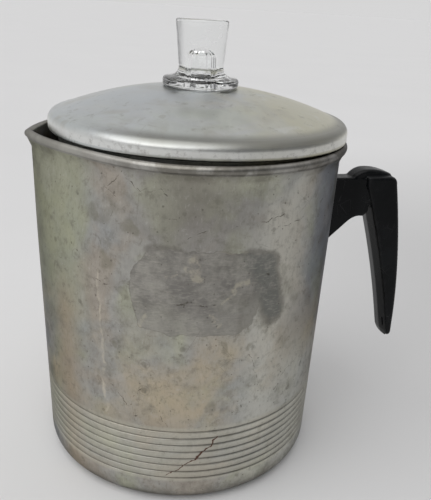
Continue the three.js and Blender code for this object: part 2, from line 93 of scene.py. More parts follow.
def turned(name, profile, sides=96, inside_from=None, sharp=40):
    """Turns a closed outline of (radius, height) points about the Z axis.
    Faces from the outline's point inside_from on take the piece's second material."""
    mesh = bmesh.new()
    rows = []
    for radius, height in profile:
        turns = [2 * math.pi * i / sides for i in range(sides if radius > 1e-6 else 1)]
        rows.append([mesh.verts.new((radius * math.cos(a), radius * math.sin(a), height)) for a in turns])
    for index, (here, there) in enumerate(zip(rows, rows[1:] + rows[:1])):
        for i in range(sides if len(here) + len(there) > 2 else 0):
            ends = [here[i % len(here)], here[(i + 1) % len(here)]]
            ends += [there[(i + 1) % len(there)], there[i % len(there)]]
            face = mesh.faces.new(list(dict.fromkeys(ends)))
            face.material_index = int(inside_from is not None and index >= inside_from)
    return piece_from(name, mesh, sharp)


def press_lip(piece):
    """Draws the rim in on both sides of the lip and pushes its tip out, fading down the wall."""
    for vertex in piece.data.vertices:
        depth = min(max((bead_height - vertex.co.z) / lip_depth, 0), 1)
        fade = 1 - depth * depth * (3 - 2 * depth)
        angle = math.degrees(abs(math.atan2(vertex.co.y, -vertex.co.x)))
        draw = lip_shoulder_draw * math.exp(-(((angle - lip_shoulder_angle) / lip_shoulder_spread) ** 2))
        factor = 1 + fade * (lip_tip_rise * math.exp(-angle / lip_tip_spread) - draw)
        vertex.co.x *= factor
        vertex.co.y *= factor


def groove_outline():
    """The grooves from the lowest up, each a smooth dip between two slightly raised edges."""
    points = []
    for groove in range(groove_count):
        middle = groove_first + groove * groove_pitch
        for share in (-0.5, -0.3, -0.15, 0, 0.15, 0.3, 0.5):
            dip = groove_depth * math.cos(math.pi * share) ** 2
            points.append((pot_radius - dip, middle + share * groove_width))
    return points


def pot_outline():
    top_of_grooves = groove_first + groove_count * groove_pitch
    low_bead = bead_height - bead_radius * 0.87
    rows = [top_of_grooves + (low_bead - top_of_grooves) * i / 30 for i in range(30)]
    outside = [(0, 0)]
    outside += arc(pot_radius - base_corner, base_corner, base_corner, -90, 0, 14)
    outside += groove_outline()
    outside += [(pot_radius, height) for height in rows]
    outside += arc(bead_centre, bead_height, bead_radius, -60, 180, 16)
    inside = [(pot_radius - pot_wall, height) for height in reversed(rows)]
    inside += arc(pot_radius - base_corner, base_corner, base_corner - pot_wall, 0, -90, 10)
    inside += [(0, pot_wall)]
    return outside + inside, len(outside) - 1


outline, inside_row = pot_outline()
pot = turned("pot_wall", outline, sides=224, inside_from=inside_row, sharp=50)
press_lip(pot)
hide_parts("pot_shell")
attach(pot, "pot")


def fill(tree, socket, value):
    """Links an output to a socket, or sets the socket's own value."""
    if isinstance(value, bpy.types.NodeSocket):
        tree.links.new(value, socket)
    else:
        socket.default_value = value


def add(tree, kind, values=None, **settings):
    """Adds a shader node with its settings and its inputs, each a value or another node's output."""
    node = tree.nodes.new("ShaderNode" + kind)
    for name, setting in settings.items():
        setattr(node, name, setting)
    for key, value in (values or {}).items():
        fill(tree, node.inputs[key], value)
    return node


def calc(tree, operation, *values):
    return add(tree, "Math", dict(enumerate(values)), operation=operation).outputs[0]


def times(tree, one, other):
    return calc(tree, "MULTIPLY", one, other)


def vector_calc(tree, operation, *values):
    node = add(tree, "VectorMath", dict(enumerate(values)), operation=operation)
    return node.outputs["Value" if operation in ("LENGTH", "DOT_PRODUCT") else "Vector"]


def step(tree, value, low, high):
    """0 at low and 1 at high, smooth between them and flat beyond; low may be the larger."""
    ends = {"Value": value, "From Min": low, "From Max": high}
    return add(tree, "MapRange", ends, interpolation_type="SMOOTHSTEP").outputs[0]


def band(tree, value, low, high, soft):
    """1 where the value lies between low and high, with soft ends."""
    rise = step(tree, value, low - soft, low + soft)
    return times(tree, rise, step(tree, value, high + soft, high - soft))


def noise(tree, place, scale, detail=3, distortion=0, seed=0, roughness=0.55):
    values = {"Vector": place, "Scale": scale, "Detail": detail, "Distortion": distortion}
    values.update({"W": seed, "Roughness": roughness})
    return add(tree, "TexNoise", values, noise_dimensions="4D").outputs[0]


def mix(tree, amount, under, over, mode="MIX"):
    sockets = {0: amount, 6: under, 7: over}
    return add(tree, "Mix", sockets, data_type="RGBA", blend_type=mode).outputs[2]


def tinted(tree, amount, share, tint, under):
    """Lays a tint over a colour by an amount, which counts up to the given share."""
    return mix(tree, times(tree, amount, share), under, (*tint, 1))


def new_group(name, inputs, outputs):
    """An empty node group with named sockets. A default's form gives the socket its type."""
    kinds = {4: "NodeSocketColor", 3: "NodeSocketVector", 1: "NodeSocketFloat"}
    tree = bpy.data.node_groups.new(name, "ShaderNodeTree")
    for label, default in inputs.items():
        size = len(default) if isinstance(default, tuple) else 1
        socket = tree.interface.new_socket(label, in_out="INPUT", socket_type=kinds[size])
        socket.default_value = default
    for label, size in outputs.items():
        tree.interface.new_socket(label, in_out="OUTPUT", socket_type=kinds[size])
    return tree, tree.nodes.new("NodeGroupInput").outputs, tree.nodes.new("NodeGroupOutput").inputs


def use(tree, group, values):
    """Puts a node group in a material, with values for its inputs, and returns its outputs."""
    node = add(tree, "Group", node_tree=group)
    for key, value in values.items():
        fill(tree, node.inputs[key], value)
    return node.outputs


def position(tree):
    """Where a point lies on its piece at rest, in metres."""
    return add(tree, "TexCoord").outputs["Object"]


def tarnish_group():
    """Cloudy colour films on bare metal: three tints in drifting patches over a finer mottling."""
    tree, given, out = new_group(
        "tarnish",
        {
            "Clean": (0.4, 0.4, 0.39, 1),
            "Warm": (0.4, 0.38, 0.3, 1),
            "Green": (0.38, 0.4, 0.3, 1),
            "Cool": (0.34, 0.36, 0.4, 1),
            "Patches per metre": 12.0,
            "Strength": 0.6,
            "Mottling": 0.3,
        },
        {"Color": 4, "Dullness": 1},
    )
    spot = position(tree)
    size = given["Patches per metre"]
    slow = noise(tree, spot, size, detail=3, distortion=1.2)
    other = noise(tree, spot, size, detail=3, distortion=0.8, seed=5)
    fine = noise(tree, spot, times(tree, size, 7), detail=6, distortion=0.5, seed=9)
    colour = given["Clean"]
    layers = (("Warm", slow, 0.48, 0.62), ("Green", slow, 0.5, 0.36), ("Cool", other, 0.5, 0.64))
    for label, field, low, high in layers:
        amount = times(tree, step(tree, field, low, high), given["Strength"])
        colour = mix(tree, amount, colour, given[label])
    shade = step(tree, fine, 0.25, 0.75)
    lowest = calc(tree, "SUBTRACT", 1, given["Mottling"])
    shade = calc(tree, "MULTIPLY_ADD", shade, given["Mottling"], lowest)
    grey = add(tree, "CombineColor", {0: shade, 1: shade, 2: shade}).outputs[0]
    fill(tree, out["Color"], mix(tree, 1.0, colour, grey, "MULTIPLY"))
    fill(tree, out["Dullness"], fine)
    return tree


def hairline_group():
    """Straight thin scratches in every direction, broken up so that they come and go."""
    tree, given, out = new_group(
        "hairlines", {"Scratches per metre": 90.0, "Width": 0.03, "Cover": 0.4}, {"Mask": 1}
    )
    spot = position(tree)
    bent = add(tree, "TexNoise", {"Vector": spot, "Scale": 14.0, "Detail": 2.0}).outputs["Color"]
    bent = vector_calc(tree, "MULTIPLY_ADD", bent, (0.01, 0.01, 0.01), spot)
    cells = {"Vector": bent, "Scale": given["Scratches per metre"], "Randomness": 1.0}
    gap = add(tree, "TexVoronoi", cells, feature="DISTANCE_TO_EDGE").outputs["Distance"]
    line = step(tree, gap, given["Width"], 0.0)
    broken = noise(tree, spot, times(tree, given["Scratches per metre"], 0.45), detail=4, seed=2)
    start = calc(tree, "SUBTRACT", 0.72, times(tree, given["Cover"], 0.4))
    kept = step(tree, broken, start, calc(tree, "ADD", start, 0.06))
    fill(tree, out["Mask"], times(tree, line, kept))
    return tree


def speck_group():
    """Scattered pits and water spots: filled dots, and rings round some of them."""
    tree, given, out = new_group(
        "specks", {"Specks per metre": 120.0, "Size": 0.2, "Cover": 0.3}, {"Dots": 1, "Rings": 1}
    )
    spot = position(tree)
    wobble = add(tree, "TexNoise", {"Vector": spot, "Scale": 260.0, "Detail": 3.0}).outputs["Color"]
    spot = vector_calc(tree, "MULTIPLY_ADD", wobble, (0.002, 0.002, 0.002), spot)
    cells = add(tree, "TexVoronoi", {"Vector": spot, "Scale": given["Specks per metre"]})
    chance = add(tree, "SeparateColor", {0: cells.outputs["Color"]}).outputs
    chosen = step(tree, chance[0], calc(tree, "SUBTRACT", 1.0, given["Cover"]), 1.0)
    radius = times(tree, given["Size"], chosen)
    distance = cells.outputs["Distance"]
    dots = step(tree, distance, radius, times(tree, radius, 0.6))
    far = calc(tree, "ABSOLUTE", calc(tree, "SUBTRACT", distance, times(tree, radius, 1.5)))
    rings = step(tree, far, times(tree, radius, 0.25), 0.0)
    picked = calc(tree, "GREATER_THAN", chosen, 0.02)
    fill(tree, out["Dots"], times(tree, dots, picked))
    ringed = times(tree, picked, step(tree, chance[1], 0.6, 0.7))
    fill(tree, out["Rings"], times(tree, rings, ringed))
    return tree


def spun_group():
    """Fine lines that a spinning lathe or polishing wheel leaves round an upright axis."""
    tree, given, out = new_group(
        "spun_lines", {"Axis at": (0.0, 0.0, 0.0), "Lines per metre": 2400.0}, {"Height": 1}
    )
    spot = vector_calc(tree, "SUBTRACT", position(tree), given["Axis at"])
    flat = vector_calc(tree, "MULTIPLY", spot, (1, 1, 0))
    parts = add(tree, "SeparateXYZ", {0: spot}).outputs
    turn = calc(tree, "ARCTAN2", parts[1], parts[0])
    across = times(tree, vector_calc(tree, "LENGTH", flat), given["Lines per metre"])
    along = times(tree, parts[2], given["Lines per metre"])
    lines = add(tree, "CombineXYZ", {0: across, 1: along, 2: times(tree, turn, 1.5)})
    fill(tree, out["Height"], noise(tree, lines.outputs[0], 1.0, detail=3))
    return tree


def worn_edge_group():
    """Where an edge stands proud and has been rubbed bright or bare."""
    tree, given, out = new_group("worn_edges", {"Reach": 0.06, "Raggedness": 0.5}, {"Mask": 1})
    sharpness = add(tree, "NewGeometry").outputs["Pointiness"]
    ragged = noise(tree, position(tree), 220, detail=5)
    ragged = times(tree, calc(tree, "SUBTRACT", ragged, 0.5), given["Raggedness"])
    ragged = calc(tree, "MULTIPLY_ADD", ragged, given["Reach"], sharpness)
    fill(tree, out["Mask"], step(tree, ragged, 0.5, calc(tree, "ADD", 0.5, given["Reach"])))
    return tree


def dust_group():
    """Dust and dull film that settles on faces turned upwards, thicker in patches."""
    tree, given, out = new_group("settled_dust", {"Amount": 0.3}, {"Mask": 1})
    facing = add(tree, "SeparateXYZ", {0: add(tree, "NewGeometry").outputs["Normal"]}).outputs[2]
    patchy = step(tree, noise(tree, position(tree), 130, detail=6), 0.35, 0.75)
    settled = times(tree, step(tree, facing, 0.1, 1.0), patchy)
    fill(tree, out["Mask"], times(tree, settled, given["Amount"]))
    return tree


tarnish = tarnish_group()
hairlines = hairline_group()
specks = speck_group()
spun_lines = spun_group()
worn_edges = worn_edge_group()
settled_dust = dust_group()


def new_material(name, **fixed):
    """A material with one Principled shader, whose fixed inputs are set on its own sockets."""
    material = bpy.data.materials.new(name)
    material.use_nodes = True
    tree = material.node_tree
    shader = next(node for node in tree.nodes if node.type == "BSDF_PRINCIPLED")
    for label, value in fixed.items():
        shader.inputs[label.replace("_", " ")].default_value = value
    return material, tree, shader


def bump(tree, shader, height, distance):
    relief = add(tree, "Bump", {"Height": height, "Distance": distance})
    fill(tree, shader.inputs["Normal"], relief.outputs["Normal"])


def wall_map_group():
    """Where a point lies on the pot's wall, in millimetres: round the wall from the side that faces
    -Y, towards the handle, and up from the base. Wavy is the same with a small wander in it."""
    tree, given, out = new_group("wall_map", {"Wander": 1.5}, {"Straight": 3, "Wavy": 3})
    spot = position(tree)
    parts = add(tree, "SeparateXYZ", {0: spot}).outputs
    turn = calc(tree, "ARCTAN2", parts[0], times(tree, parts[1], -1))
    around = times(tree, turn, pot_radius / mm)
    height = calc(tree, "DIVIDE", parts[2], mm)
    straight = add(tree, "CombineXYZ", {0: around, 1: height}).outputs[0]
    bent = add(tree, "TexNoise", {"Vector": spot, "Scale": 110.0, "Detail": 4.0}).outputs["Color"]
    bent = vector_calc(tree, "SUBTRACT", bent, (0.5, 0.5, 0.5))
    bent = vector_calc(tree, "MULTIPLY", bent, (8, 8, 0))
    bent = add(tree, "VectorMath", {0: bent, "Scale": given["Wander"]}, operation="SCALE").outputs[0]
    fill(tree, out["Straight"], straight)
    fill(tree, out["Wavy"], vector_calc(tree, "ADD", straight, bent))
    return tree


def mark_group():
    """A line or, where its two ends are the same, a round spot at a place on the wall."""
    tree, given, out = new_group(
        "mark",
        {"Place": (0.0, 0.0, 0.0), "Start": (0.0, 0.0, 0.0), "End": (0.0, 0.0, 0.0), "Half width": 0.3},
        {"Mask": 1},
    )
    run = vector_calc(tree, "SUBTRACT", given["End"], given["Start"])
    reach = vector_calc(tree, "SUBTRACT", given["Place"], given["Start"])
    along = vector_calc(tree, "DOT_PRODUCT", reach, run)
    share = calc(tree, "DIVIDE", along, vector_calc(tree, "DOT_PRODUCT", run, run))
    share = calc(tree, "MINIMUM", calc(tree, "MAXIMUM", share, 0), 1)
    nearest = add(tree, "VectorMath", {0: run, "Scale": share}, operation="SCALE").outputs[0]
    gap = vector_calc(tree, "LENGTH", vector_calc(tree, "SUBTRACT", reach, nearest))
    core = times(tree, given["Half width"], 0.4)
    fill(tree, out["Mask"], step(tree, gap, given["Half width"], core))
    return tree


wall_map = wall_map_group()
mark = mark_group()


def marks(tree, where, strokes):
    """All the strokes (start, end, half width), in millimetres on the wall, in one mask."""
    total = 0.0
    for start, end, half_width in strokes:
        ends = {"Place": where, "Start": (*start, 0), "End": (*end, 0), "Half width": half_width}
        total = calc(tree, "MAXIMUM", total, use(tree, mark, ends)["Mask"])
    return total


# Marks of long use: where they start and end (round the wall, height) and their half widths, in
# millimetres.
dark_scratches = [
    ((-62, 176), (-55, 171), 0.22), ((-60, 177), (-50, 184), 0.21), ((-55, 171), (-57, 164), 0.19),
    ((-47, 179), (-42, 176), 0.22), ((-42, 176), (-33, 178), 0.22), ((-33, 178), (-28, 175), 0.26),
    ((-20, 157), (-9, 162), 0.21), ((-31, 166), (-24, 165), 0.3), ((15, 164), (29, 166), 0.22),
    ((30, 160), (42, 164), 0.17), ((-58, 73), (-47, 64), 0.21), ((-47, 64), (-40, 75), 0.21),
    ((14, 98), (23, 75), 0.19), ((23, 75), (20, 65), 0.19), ((33, 66), (38, 70), 0.3),
    ((12, 62), (11, 69), 0.45), ((-31, 62), (-28, 52), 0.17), ((40, 74), (52, 80), 0.17),
]
brown_crack = [((-26, 20), (-9, 32.5), 0.35), ((-7, 35), (1, 45), 0.4), ((-10.5, 31.5), (-4.5, 38), 0.95)]
stain_blots = [
    ((-60, 144), (-58, 140), 4.2), ((-51, 129), (-48, 126), 3.4), ((-4, 65), (-4, 64), 3.2),
    ((-54, 98), (-54, 98), 2.6), ((1, 102), (1, 98), 2.8), ((15, 100), (14, 98), 2.4),
    ((-70, 165), (-66, 160), 3.0), ((-48, 160), (-44, 158), 3.5), ((-22, 84), (-21, 82), 1.8),
]
water_rings = [(-32, 79, 1.7), (-24, 79, 1.5), (-54, 98, 2.6), (-66, 150, 3.0)]
pale_drip = [((-63, 136), (-62.5, 100), 0.9), ((-62.5, 100), (-60.5, 56), 1.3)]
pale_flakes = [
    ((-16, 147), (-13, 139), 3.6), ((-19, 141), (-14, 137), 2.2), ((4, 131), (10, 135), 2.2),
    ((-1, 124), (4, 130), 1.1), ((-41, 112), (-38, 117), 2.0), ((-6, 118), (-4, 113), 2.2),
    ((-27, 138), (-24, 140), 1.0), ((-12, 151), (10, 150), 0.5),
]
dark_flecks = [
    ((-24, 124), (-16, 124.5), 0.45), ((-20, 124), (-17, 124), 1.0), ((-14, 124), (-4, 124.5), 0.4),
    ((21, 137), (22, 137), 1.1), ((-65, 131), (-55, 130), 0.5), ((-44, 57), (-43, 57), 1.1),
]


def label_patch(tree, wavy):
    """What is left where a paper label was scraped off: a main piece and a darker tilted oval."""
    middle = (-13.5, 129, 0)
    half_width, half_height = 31.5, 21.5
    squareness = 4
    across, up, _ = add(tree, "SeparateXYZ", {0: vector_calc(tree, "SUBTRACT", wavy, middle)}).outputs
    wide = calc(tree, "ABSOLUTE", calc(tree, "DIVIDE", across, half_width))
    wide = calc(tree, "POWER", wide, squareness)
    tall = calc(tree, "ABSOLUTE", calc(tree, "DIVIDE", up, half_height))
    tall = calc(tree, "POWER", tall, squareness)
    main = step(tree, calc(tree, "ADD", wide, tall), 1.06, 0.96)
    main = calc(tree, "MAXIMUM", main, marks(tree, wavy, [((-33, 145), (-24, 145.5), 8.5)]))
    corner = times(tree, step(tree, across, 19, 25), step(tree, up, 2, -8))
    main = times(tree, main, calc(tree, "MULTIPLY_ADD", corner, -0.6, 1))
    oval = marks(tree, wavy, [((19, 141), (27, 117), 10), ((12, 145), (22, 143), 7.5)])
    return main, oval


def heat_tints_and_painted_light(tree, colour, spot, around, height):
    """Broad patches that heat leaves, with painted shade and painted light on the sides and the top front.
    Around and height are in millimetres.
    """
    drift = noise(tree, spot, 26, detail=5, distortion=0.6, seed=3)
    olive_belt = times(tree, band(tree, height, 50, 104, 16), step(tree, drift, 0.38, 0.62))
    lip_side = times(tree, step(tree, around, -64, -84), step(tree, height, 70, 130))
    rosy_below_lip = times(tree, band(tree, around, -96, -80, 8), step(tree, height, 140, 100))
    bluish = times(tree, band(tree, around, 30, 62, 14), step(tree, drift, 0.35, 0.6))
    # painted shade: the wall is painted darker high on the handle side
    painted_shade_handle_side = times(tree, step(tree, around, 44, 58), step(tree, height, 96, 140))
    # painted light: the front towards the handle is painted brighter in patches
    painted_light_right_front = times(tree, band(tree, around, 12, 44, 12), step(tree, drift, 0.66, 0.42))
    # painted light: the handle side is painted brighter low down
    painted_light_low_right = times(tree, step(tree, around, 34, 56), step(tree, height, 100, 70))
    # painted shade: the front is painted darker high up, below the rim
    painted_shade_top_front = times(tree, step(tree, height, 132, 168), band(tree, around, -36, 2, 24))
    patches = [
        (olive_belt, 0.75, (0.56, 0.47, 0.33)),
        (lip_side, 0.6, (0.43, 0.44, 0.3)),
        (rosy_below_lip, 0.7, (0.46, 0.38, 0.28)),
        (bluish, 0.45, (0.4, 0.42, 0.42)),
        (painted_shade_handle_side, 0.6, (0.24, 0.26, 0.3)),
        (painted_light_right_front, 0.65, (0.68, 0.67, 0.6)),
        (painted_light_low_right, 0.7, (0.72, 0.72, 0.66)),
        (painted_shade_top_front, 0.7, (0.22, 0.2, 0.18)),
    ]
    for amount, share, tint in patches:
        colour = tinted(tree, amount, share, tint, colour)
    return colour


def grime_tints(tree, colour, straight, grime, fine_grime):
    """Grime in three sizes, with paler metal where it has been wiped away."""
    stretched = vector_calc(tree, "MULTIPLY", straight, (0.7, 0.22, 1))
    grain = noise(tree, stretched, 1.0, detail=8, roughness=0.75)
    layers = [
        (grime, 0.5, 0.68, 0.42, (0.2, 0.19, 0.15)),
        (fine_grime, 0.5, 0.68, 0.5, (0.2, 0.19, 0.16)),
        (grain, 0.5, 0.66, 0.35, (0.22, 0.21, 0.18)),
        (grain, 0.46, 0.32, 0.3, (0.64, 0.63, 0.58)),
        (fine_grime, 0.42, 0.28, 0.35, (0.62, 0.61, 0.57)),
    ]
    for field, low, high, share, tint in layers:
        colour = tinted(tree, step(tree, field, low, high), share, tint, colour)
    return colour


def label_colour(tree, oval, wavy, straight, height, rub, fine_grime):
    """The scraped patch: combed by the scraper, darker in the oval, with flakes of paper left."""
    colour = mix(tree, step(tree, rub, 0.4, 0.66), (0.2, 0.19, 0.175, 1), (0.36, 0.345, 0.31, 1))
    stretched = vector_calc(tree, "MULTIPLY", straight, (0.3, 1.1, 1))
    combed = noise(tree, stretched, 1.0, detail=8, distortion=0.5)
    flakes = times(tree, marks(tree, wavy, pale_flakes), step(tree, fine_grime, 0.4, 0.56))
    layers = [
        (step(tree, height, 126, 112), 0.4, (0.4, 0.39, 0.35)),
        (times(tree, oval, step(tree, rub, 0.7, 0.45)), 0.75, (0.13, 0.14, 0.13)),
        (step(tree, combed, 0.5, 0.68), 0.45, (0.44, 0.42, 0.37)),
        (step(tree, combed, 0.46, 0.3), 0.4, (0.14, 0.13, 0.12)),
        (flakes, 0.7, (0.5, 0.46, 0.37)),
    ]
    for amount, share, tint in layers:
        colour = tinted(tree, amount, share, tint, colour)
    return colour


def dried_rings(tree, wavy):
    """Thin rings left by drops of water that dried on the wall."""
    rings = 0.0
    for around, height, radius in water_rings:
        off = vector_calc(tree, "SUBTRACT", wavy, (around, height, 0))
        off = calc(tree, "SUBTRACT", vector_calc(tree, "LENGTH", off), radius)
        rings = calc(tree, "MAXIMUM", rings, step(tree, calc(tree, "ABSOLUTE", off), 0.9, 0.0))
    return rings


def groove_painted_shade_and_highlights(tree, colour, spot, height):
    """The grooves are painted darker as painted shade, and the ridges between them are painted bright as
    painted highlights.
    """
    radius = vector_calc(tree, "LENGTH", vector_calc(tree, "MULTIPLY", spot, (1, 1, 0)))
    deep = step(tree, radius, pot_radius, pot_radius - groove_depth)
    in_groove = times(tree, deep, band(tree, height, 15, 54, 1))
    ridges = times(tree, band(tree, height, 16, 52, 1), calc(tree, "SUBTRACT", 1, in_groove))
    # painted shade in the grooves, then painted highlights on the ridges
    colour = tinted(tree, in_groove, 0.55, (0.15, 0.145, 0.115), colour)
    return tinted(tree, ridges, 0.42, (0.66, 0.64, 0.54), colour)


def rim_tints(tree, colour, on_bead, around, height, grime):
    """The bead is duller than the wall, with a painted highlight towards the lip and patchy painted shade
    just under it.
    """
    bead_colour = mix(tree, step(tree, grime, 0.38, 0.56), (0.4, 0.39, 0.365, 1), (0.19, 0.18, 0.16, 1))
    # painted highlight: the bead is painted brighter towards the lip
    bead_colour = tinted(tree, step(tree, around, -30, -70), 0.6, (0.5, 0.49, 0.46), bead_colour)
    colour = mix(tree, times(tree, on_bead, 0.85), colour, bead_colour)
    # painted shade: a patchy dark line is painted just under the bead
    below_bead = band(tree, height, pot_height / mm - 7.5, pot_height / mm - 4.6, 1.2)
    painted_shade_under_bead = times(tree, below_bead, step(tree, grime, 0.4, 0.6))
    return tinted(tree, painted_shade_under_bead, 0.4, (0.17, 0.16, 0.13), colour)


def aged_wall_material():
    """Tarnished, scratched and stained aluminium, with the ghost of a label on its front."""
    material, tree, shader = new_material("aged_wall_aluminium", Specular_Tint=(0.3, 0.3, 0.32, 1))
    places = use(tree, wall_map, {"Wander": 1.0})
    wavy, straight = places["Wavy"], places["Straight"]
    spot = position(tree)
    around, height, _ = add(tree, "SeparateXYZ", {0: straight}).outputs
    film = use(tree, tarnish, {
        "Clean": (0.47, 0.46, 0.43, 1), "Warm": (0.49, 0.43, 0.36, 1), "Green": (0.5, 0.51, 0.38, 1),
        "Cool": (0.42, 0.44, 0.45, 1), "Patches per metre": 17.0, "Strength": 0.7, "Mottling": 0.25,
    })
    grime = noise(tree, spot, 70, detail=8, seed=4, roughness=0.68)
    fine_grime = noise(tree, spot, 260, detail=6, seed=14, roughness=0.7)
    rub = noise(tree, spot, 85, detail=9, seed=6, roughness=0.72)
    colour = heat_tints_and_painted_light(tree, film["Color"], spot, around, height)
    colour = grime_tints(tree, colour, straight, grime, fine_grime)

    main, oval = label_patch(tree, wavy)
    patch = calc(tree, "MAXIMUM", main, oval)
    scraped = label_colour(tree, oval, wavy, straight, height, rub, fine_grime)
    colour = mix(tree, times(tree, patch, 0.85), colour, scraped)
    patch_edge = times(tree, times(tree, patch, calc(tree, "SUBTRACT", 1, patch)), 4)

    blots = times(tree, marks(tree, wavy, stain_blots), step(tree, rub, 0.3, 0.55))
    rings = times(tree, dried_rings(tree, wavy), step(tree, fine_grime, 0.42, 0.58))
    spots = use(tree, specks, {"Specks per metre": 110.0, "Size": 0.22, "Cover": 0.35})
    pits = use(tree, specks, {"Specks per metre": 420.0, "Size": 0.26, "Cover": 0.3})["Dots"]
    drip = times(tree, marks(tree, wavy, pale_drip), step(tree, fine_grime, 0.38, 0.6))
    lines = use(tree, hairlines, {"Scratches per metre": 60.0, "Width": 0.01, "Cover": 0.35})["Mask"]
    scratched = calc(tree, "MAXIMUM", marks(tree, wavy, dark_scratches), marks(tree, wavy, dark_flecks))
    kept = step(tree, noise(tree, spot, 420, detail=4, seed=12), 0.42, 0.56)
    scratched = times(tree, scratched, kept)
    wear = [
        (patch_edge, 0.35, (0.12, 0.11, 0.09)),
        (blots, 0.45, (0.2, 0.19, 0.14)),
        (rings, 0.4, (0.16, 0.15, 0.12)),
        (spots["Dots"], 0.4, (0.16, 0.15, 0.12)),
        (spots["Rings"], 0.25, (0.18, 0.17, 0.15)),
        (pits, 0.5, (0.12, 0.11, 0.09)),
        (drip, 0.6, (0.6, 0.55, 0.45)),
        (lines, 0.4, (0.13, 0.12, 0.1)),
        (scratched, 0.75, (0.08, 0.07, 0.055)),
    ]
    for amount, share, tint in wear:
        colour = tinted(tree, amount, share, tint, colour)

    crack = marks(tree, wavy, brown_crack)
    on_bead = step(tree, height, pot_height / mm - 4.6, pot_height / mm - 4.1)
    # the base below the grooves is painted darker in patches
    darker_base = times(tree, step(tree, height, 15, 6), step(tree, grime, 0.38, 0.6))
    colour = groove_painted_shade_and_highlights(tree, colour, spot, height)
    colour = tinted(tree, crack, 0.95, (0.08, 0.025, 0.012), colour)
    colour = rim_tints(tree, colour, on_bead, around, height, grime)
    colour = tinted(tree, darker_base, 0.6, (0.24, 0.23, 0.2), colour)
    fill(tree, shader.inputs["Base Color"], colour)

    rough = calc(tree, "MULTIPLY_ADD", film["Dullness"], 0.2, 0.29)
    rough = calc(tree, "MULTIPLY_ADD", patch, 0.2, rough)
    rough = calc(tree, "MULTIPLY_ADD", drip, 0.15, rough)
    rough = calc(tree, "MULTIPLY_ADD", calc(tree, "MAXIMUM", darker_base, pits), 0.12, rough)
    fill(tree, shader.inputs["Roughness"], calc(tree, "MULTIPLY_ADD", on_bead, 0.02, rough))
    bare = calc(tree, "MULTIPLY_ADD", patch, -0.4, 1.0)
    bare = calc(tree, "MULTIPLY_ADD", calc(tree, "MAXIMUM", drip, crack), -0.6, bare)
    fill(tree, shader.inputs["Metallic"], bare)

    relief = times(tree, use(tree, spun_lines, {"Lines per metre": 1500.0})["Height"], 0.12)
    dents = noise(tree, spot, 22, detail=3, seed=1)
    reliefs = [
        (dents, 3.0), (grime, 0.5), (patch, 0.3), (scratched, -0.5), (crack, -0.8), (lines, -0.3),
        (spots["Dots"], -0.3), (pits, -0.3),
    ]
    for field, depth in reliefs:
        relief = calc(tree, "MULTIPLY_ADD", field, depth, relief)
    bump(tree, shader, relief, 0.12 * mm)
    return material


def coffee_stained_material():
    """The inside has never been polished: dull metal, browned by coffee up to the filling line."""
    material, tree, shader = new_material("coffee_stained_aluminium", Metallic=0.9)
    spot = position(tree)
    height = calc(tree, "DIVIDE", add(tree, "SeparateXYZ", {0: spot}).outputs[2], mm)
    film = use(tree, tarnish, {
        "Clean": (0.42, 0.4, 0.36, 1), "Warm": (0.3, 0.22, 0.14, 1), "Green": (0.35, 0.31, 0.22, 1),
        "Cool": (0.36, 0.36, 0.36, 1), "Patches per metre": 24.0, "Strength": 0.8, "Mottling": 0.35,
    })
    wander = calc(tree, "MULTIPLY_ADD", noise(tree, spot, 30, detail=4), 12, height)
    below = step(tree, wander, 116, 108)
    colour = tinted(tree, below, 0.6, (0.2, 0.13, 0.075), film["Color"])
    tide = band(tree, wander, 108, 113, 1.5)
    colour = tinted(tree, tide, 0.7, (0.1, 0.06, 0.035), colour)
    fill(tree, shader.inputs["Base Color"], colour)
    fill(tree, shader.inputs["Roughness"], calc(tree, "MULTIPLY_ADD", film["Dullness"], 0.25, 0.38))
    lines = use(tree, spun_lines, {"Lines per metre": 900.0})["Height"]
    bump(tree, shader, calc(tree, "ADD", lines, film["Dullness"]), 0.05 * mm)
    return material


coffee_stained = coffee_stained_material()
pot.data.materials.append(aged_wall_material())
pot.data.materials.append(coffee_stained)


# ---------------------------------------------------------------- handle bracket and rivets
# A cast aluminium bracket is held to the wall by two rivets, headed over inside and out. Its boss
# takes the handle's screw. It shows only past the edges of the handle and inside the pot.


def rounded(corners, closed=True, steps=6):
    """Outline points from corners (x, y, fillet radius), with an arc of that radius at each."""
    points = []
    for i, (x, y, radius) in enumerate(corners):
        here = Vector((x, y))
        if not radius or (not closed and i in (0, len(corners) - 1)):
            points.append((x, y))
            continue
        back = Vector(corners[i - 1][:2]) - here
        ahead = Vector(corners[(i + 1) % len(corners)][:2]) - here
        half = back.angle(ahead) / 2
        reach = min(radius / math.tan(half), 0.49 * back.length, 0.49 * ahead.length)
        middle = (back.normalized() + ahead.normalized()).normalized()
        centre = here + middle * (reach / math.cos(half))
        start = here + back.normalized() * reach - centre
        left = back.x * ahead.y - back.y * ahead.x < 0
        sweep = (math.pi - 2 * half) * (1 if left else -1)
        for j in range(steps + 1):
            spoke = Matrix.Rotation(sweep * j / steps, 2) @ start
            points.append((centre.x + spoke.x, centre.y + spoke.y))
    return points


def lay_along_x(piece, height):
    """Turns a piece made about the Z axis onto the handle's line, along +X at a height."""
    piece.data.transform(Matrix.Translation((0, 0, height)) @ Matrix.Rotation(math.radians(90), 4, "Y"))


def fitted(piece, node, body, material):
    """Gives a new piece its finish, and puts it in its node's place on a body."""
    piece.data.materials.clear()
    piece.data.materials.append(material)
    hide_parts(node)
    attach(piece, body)


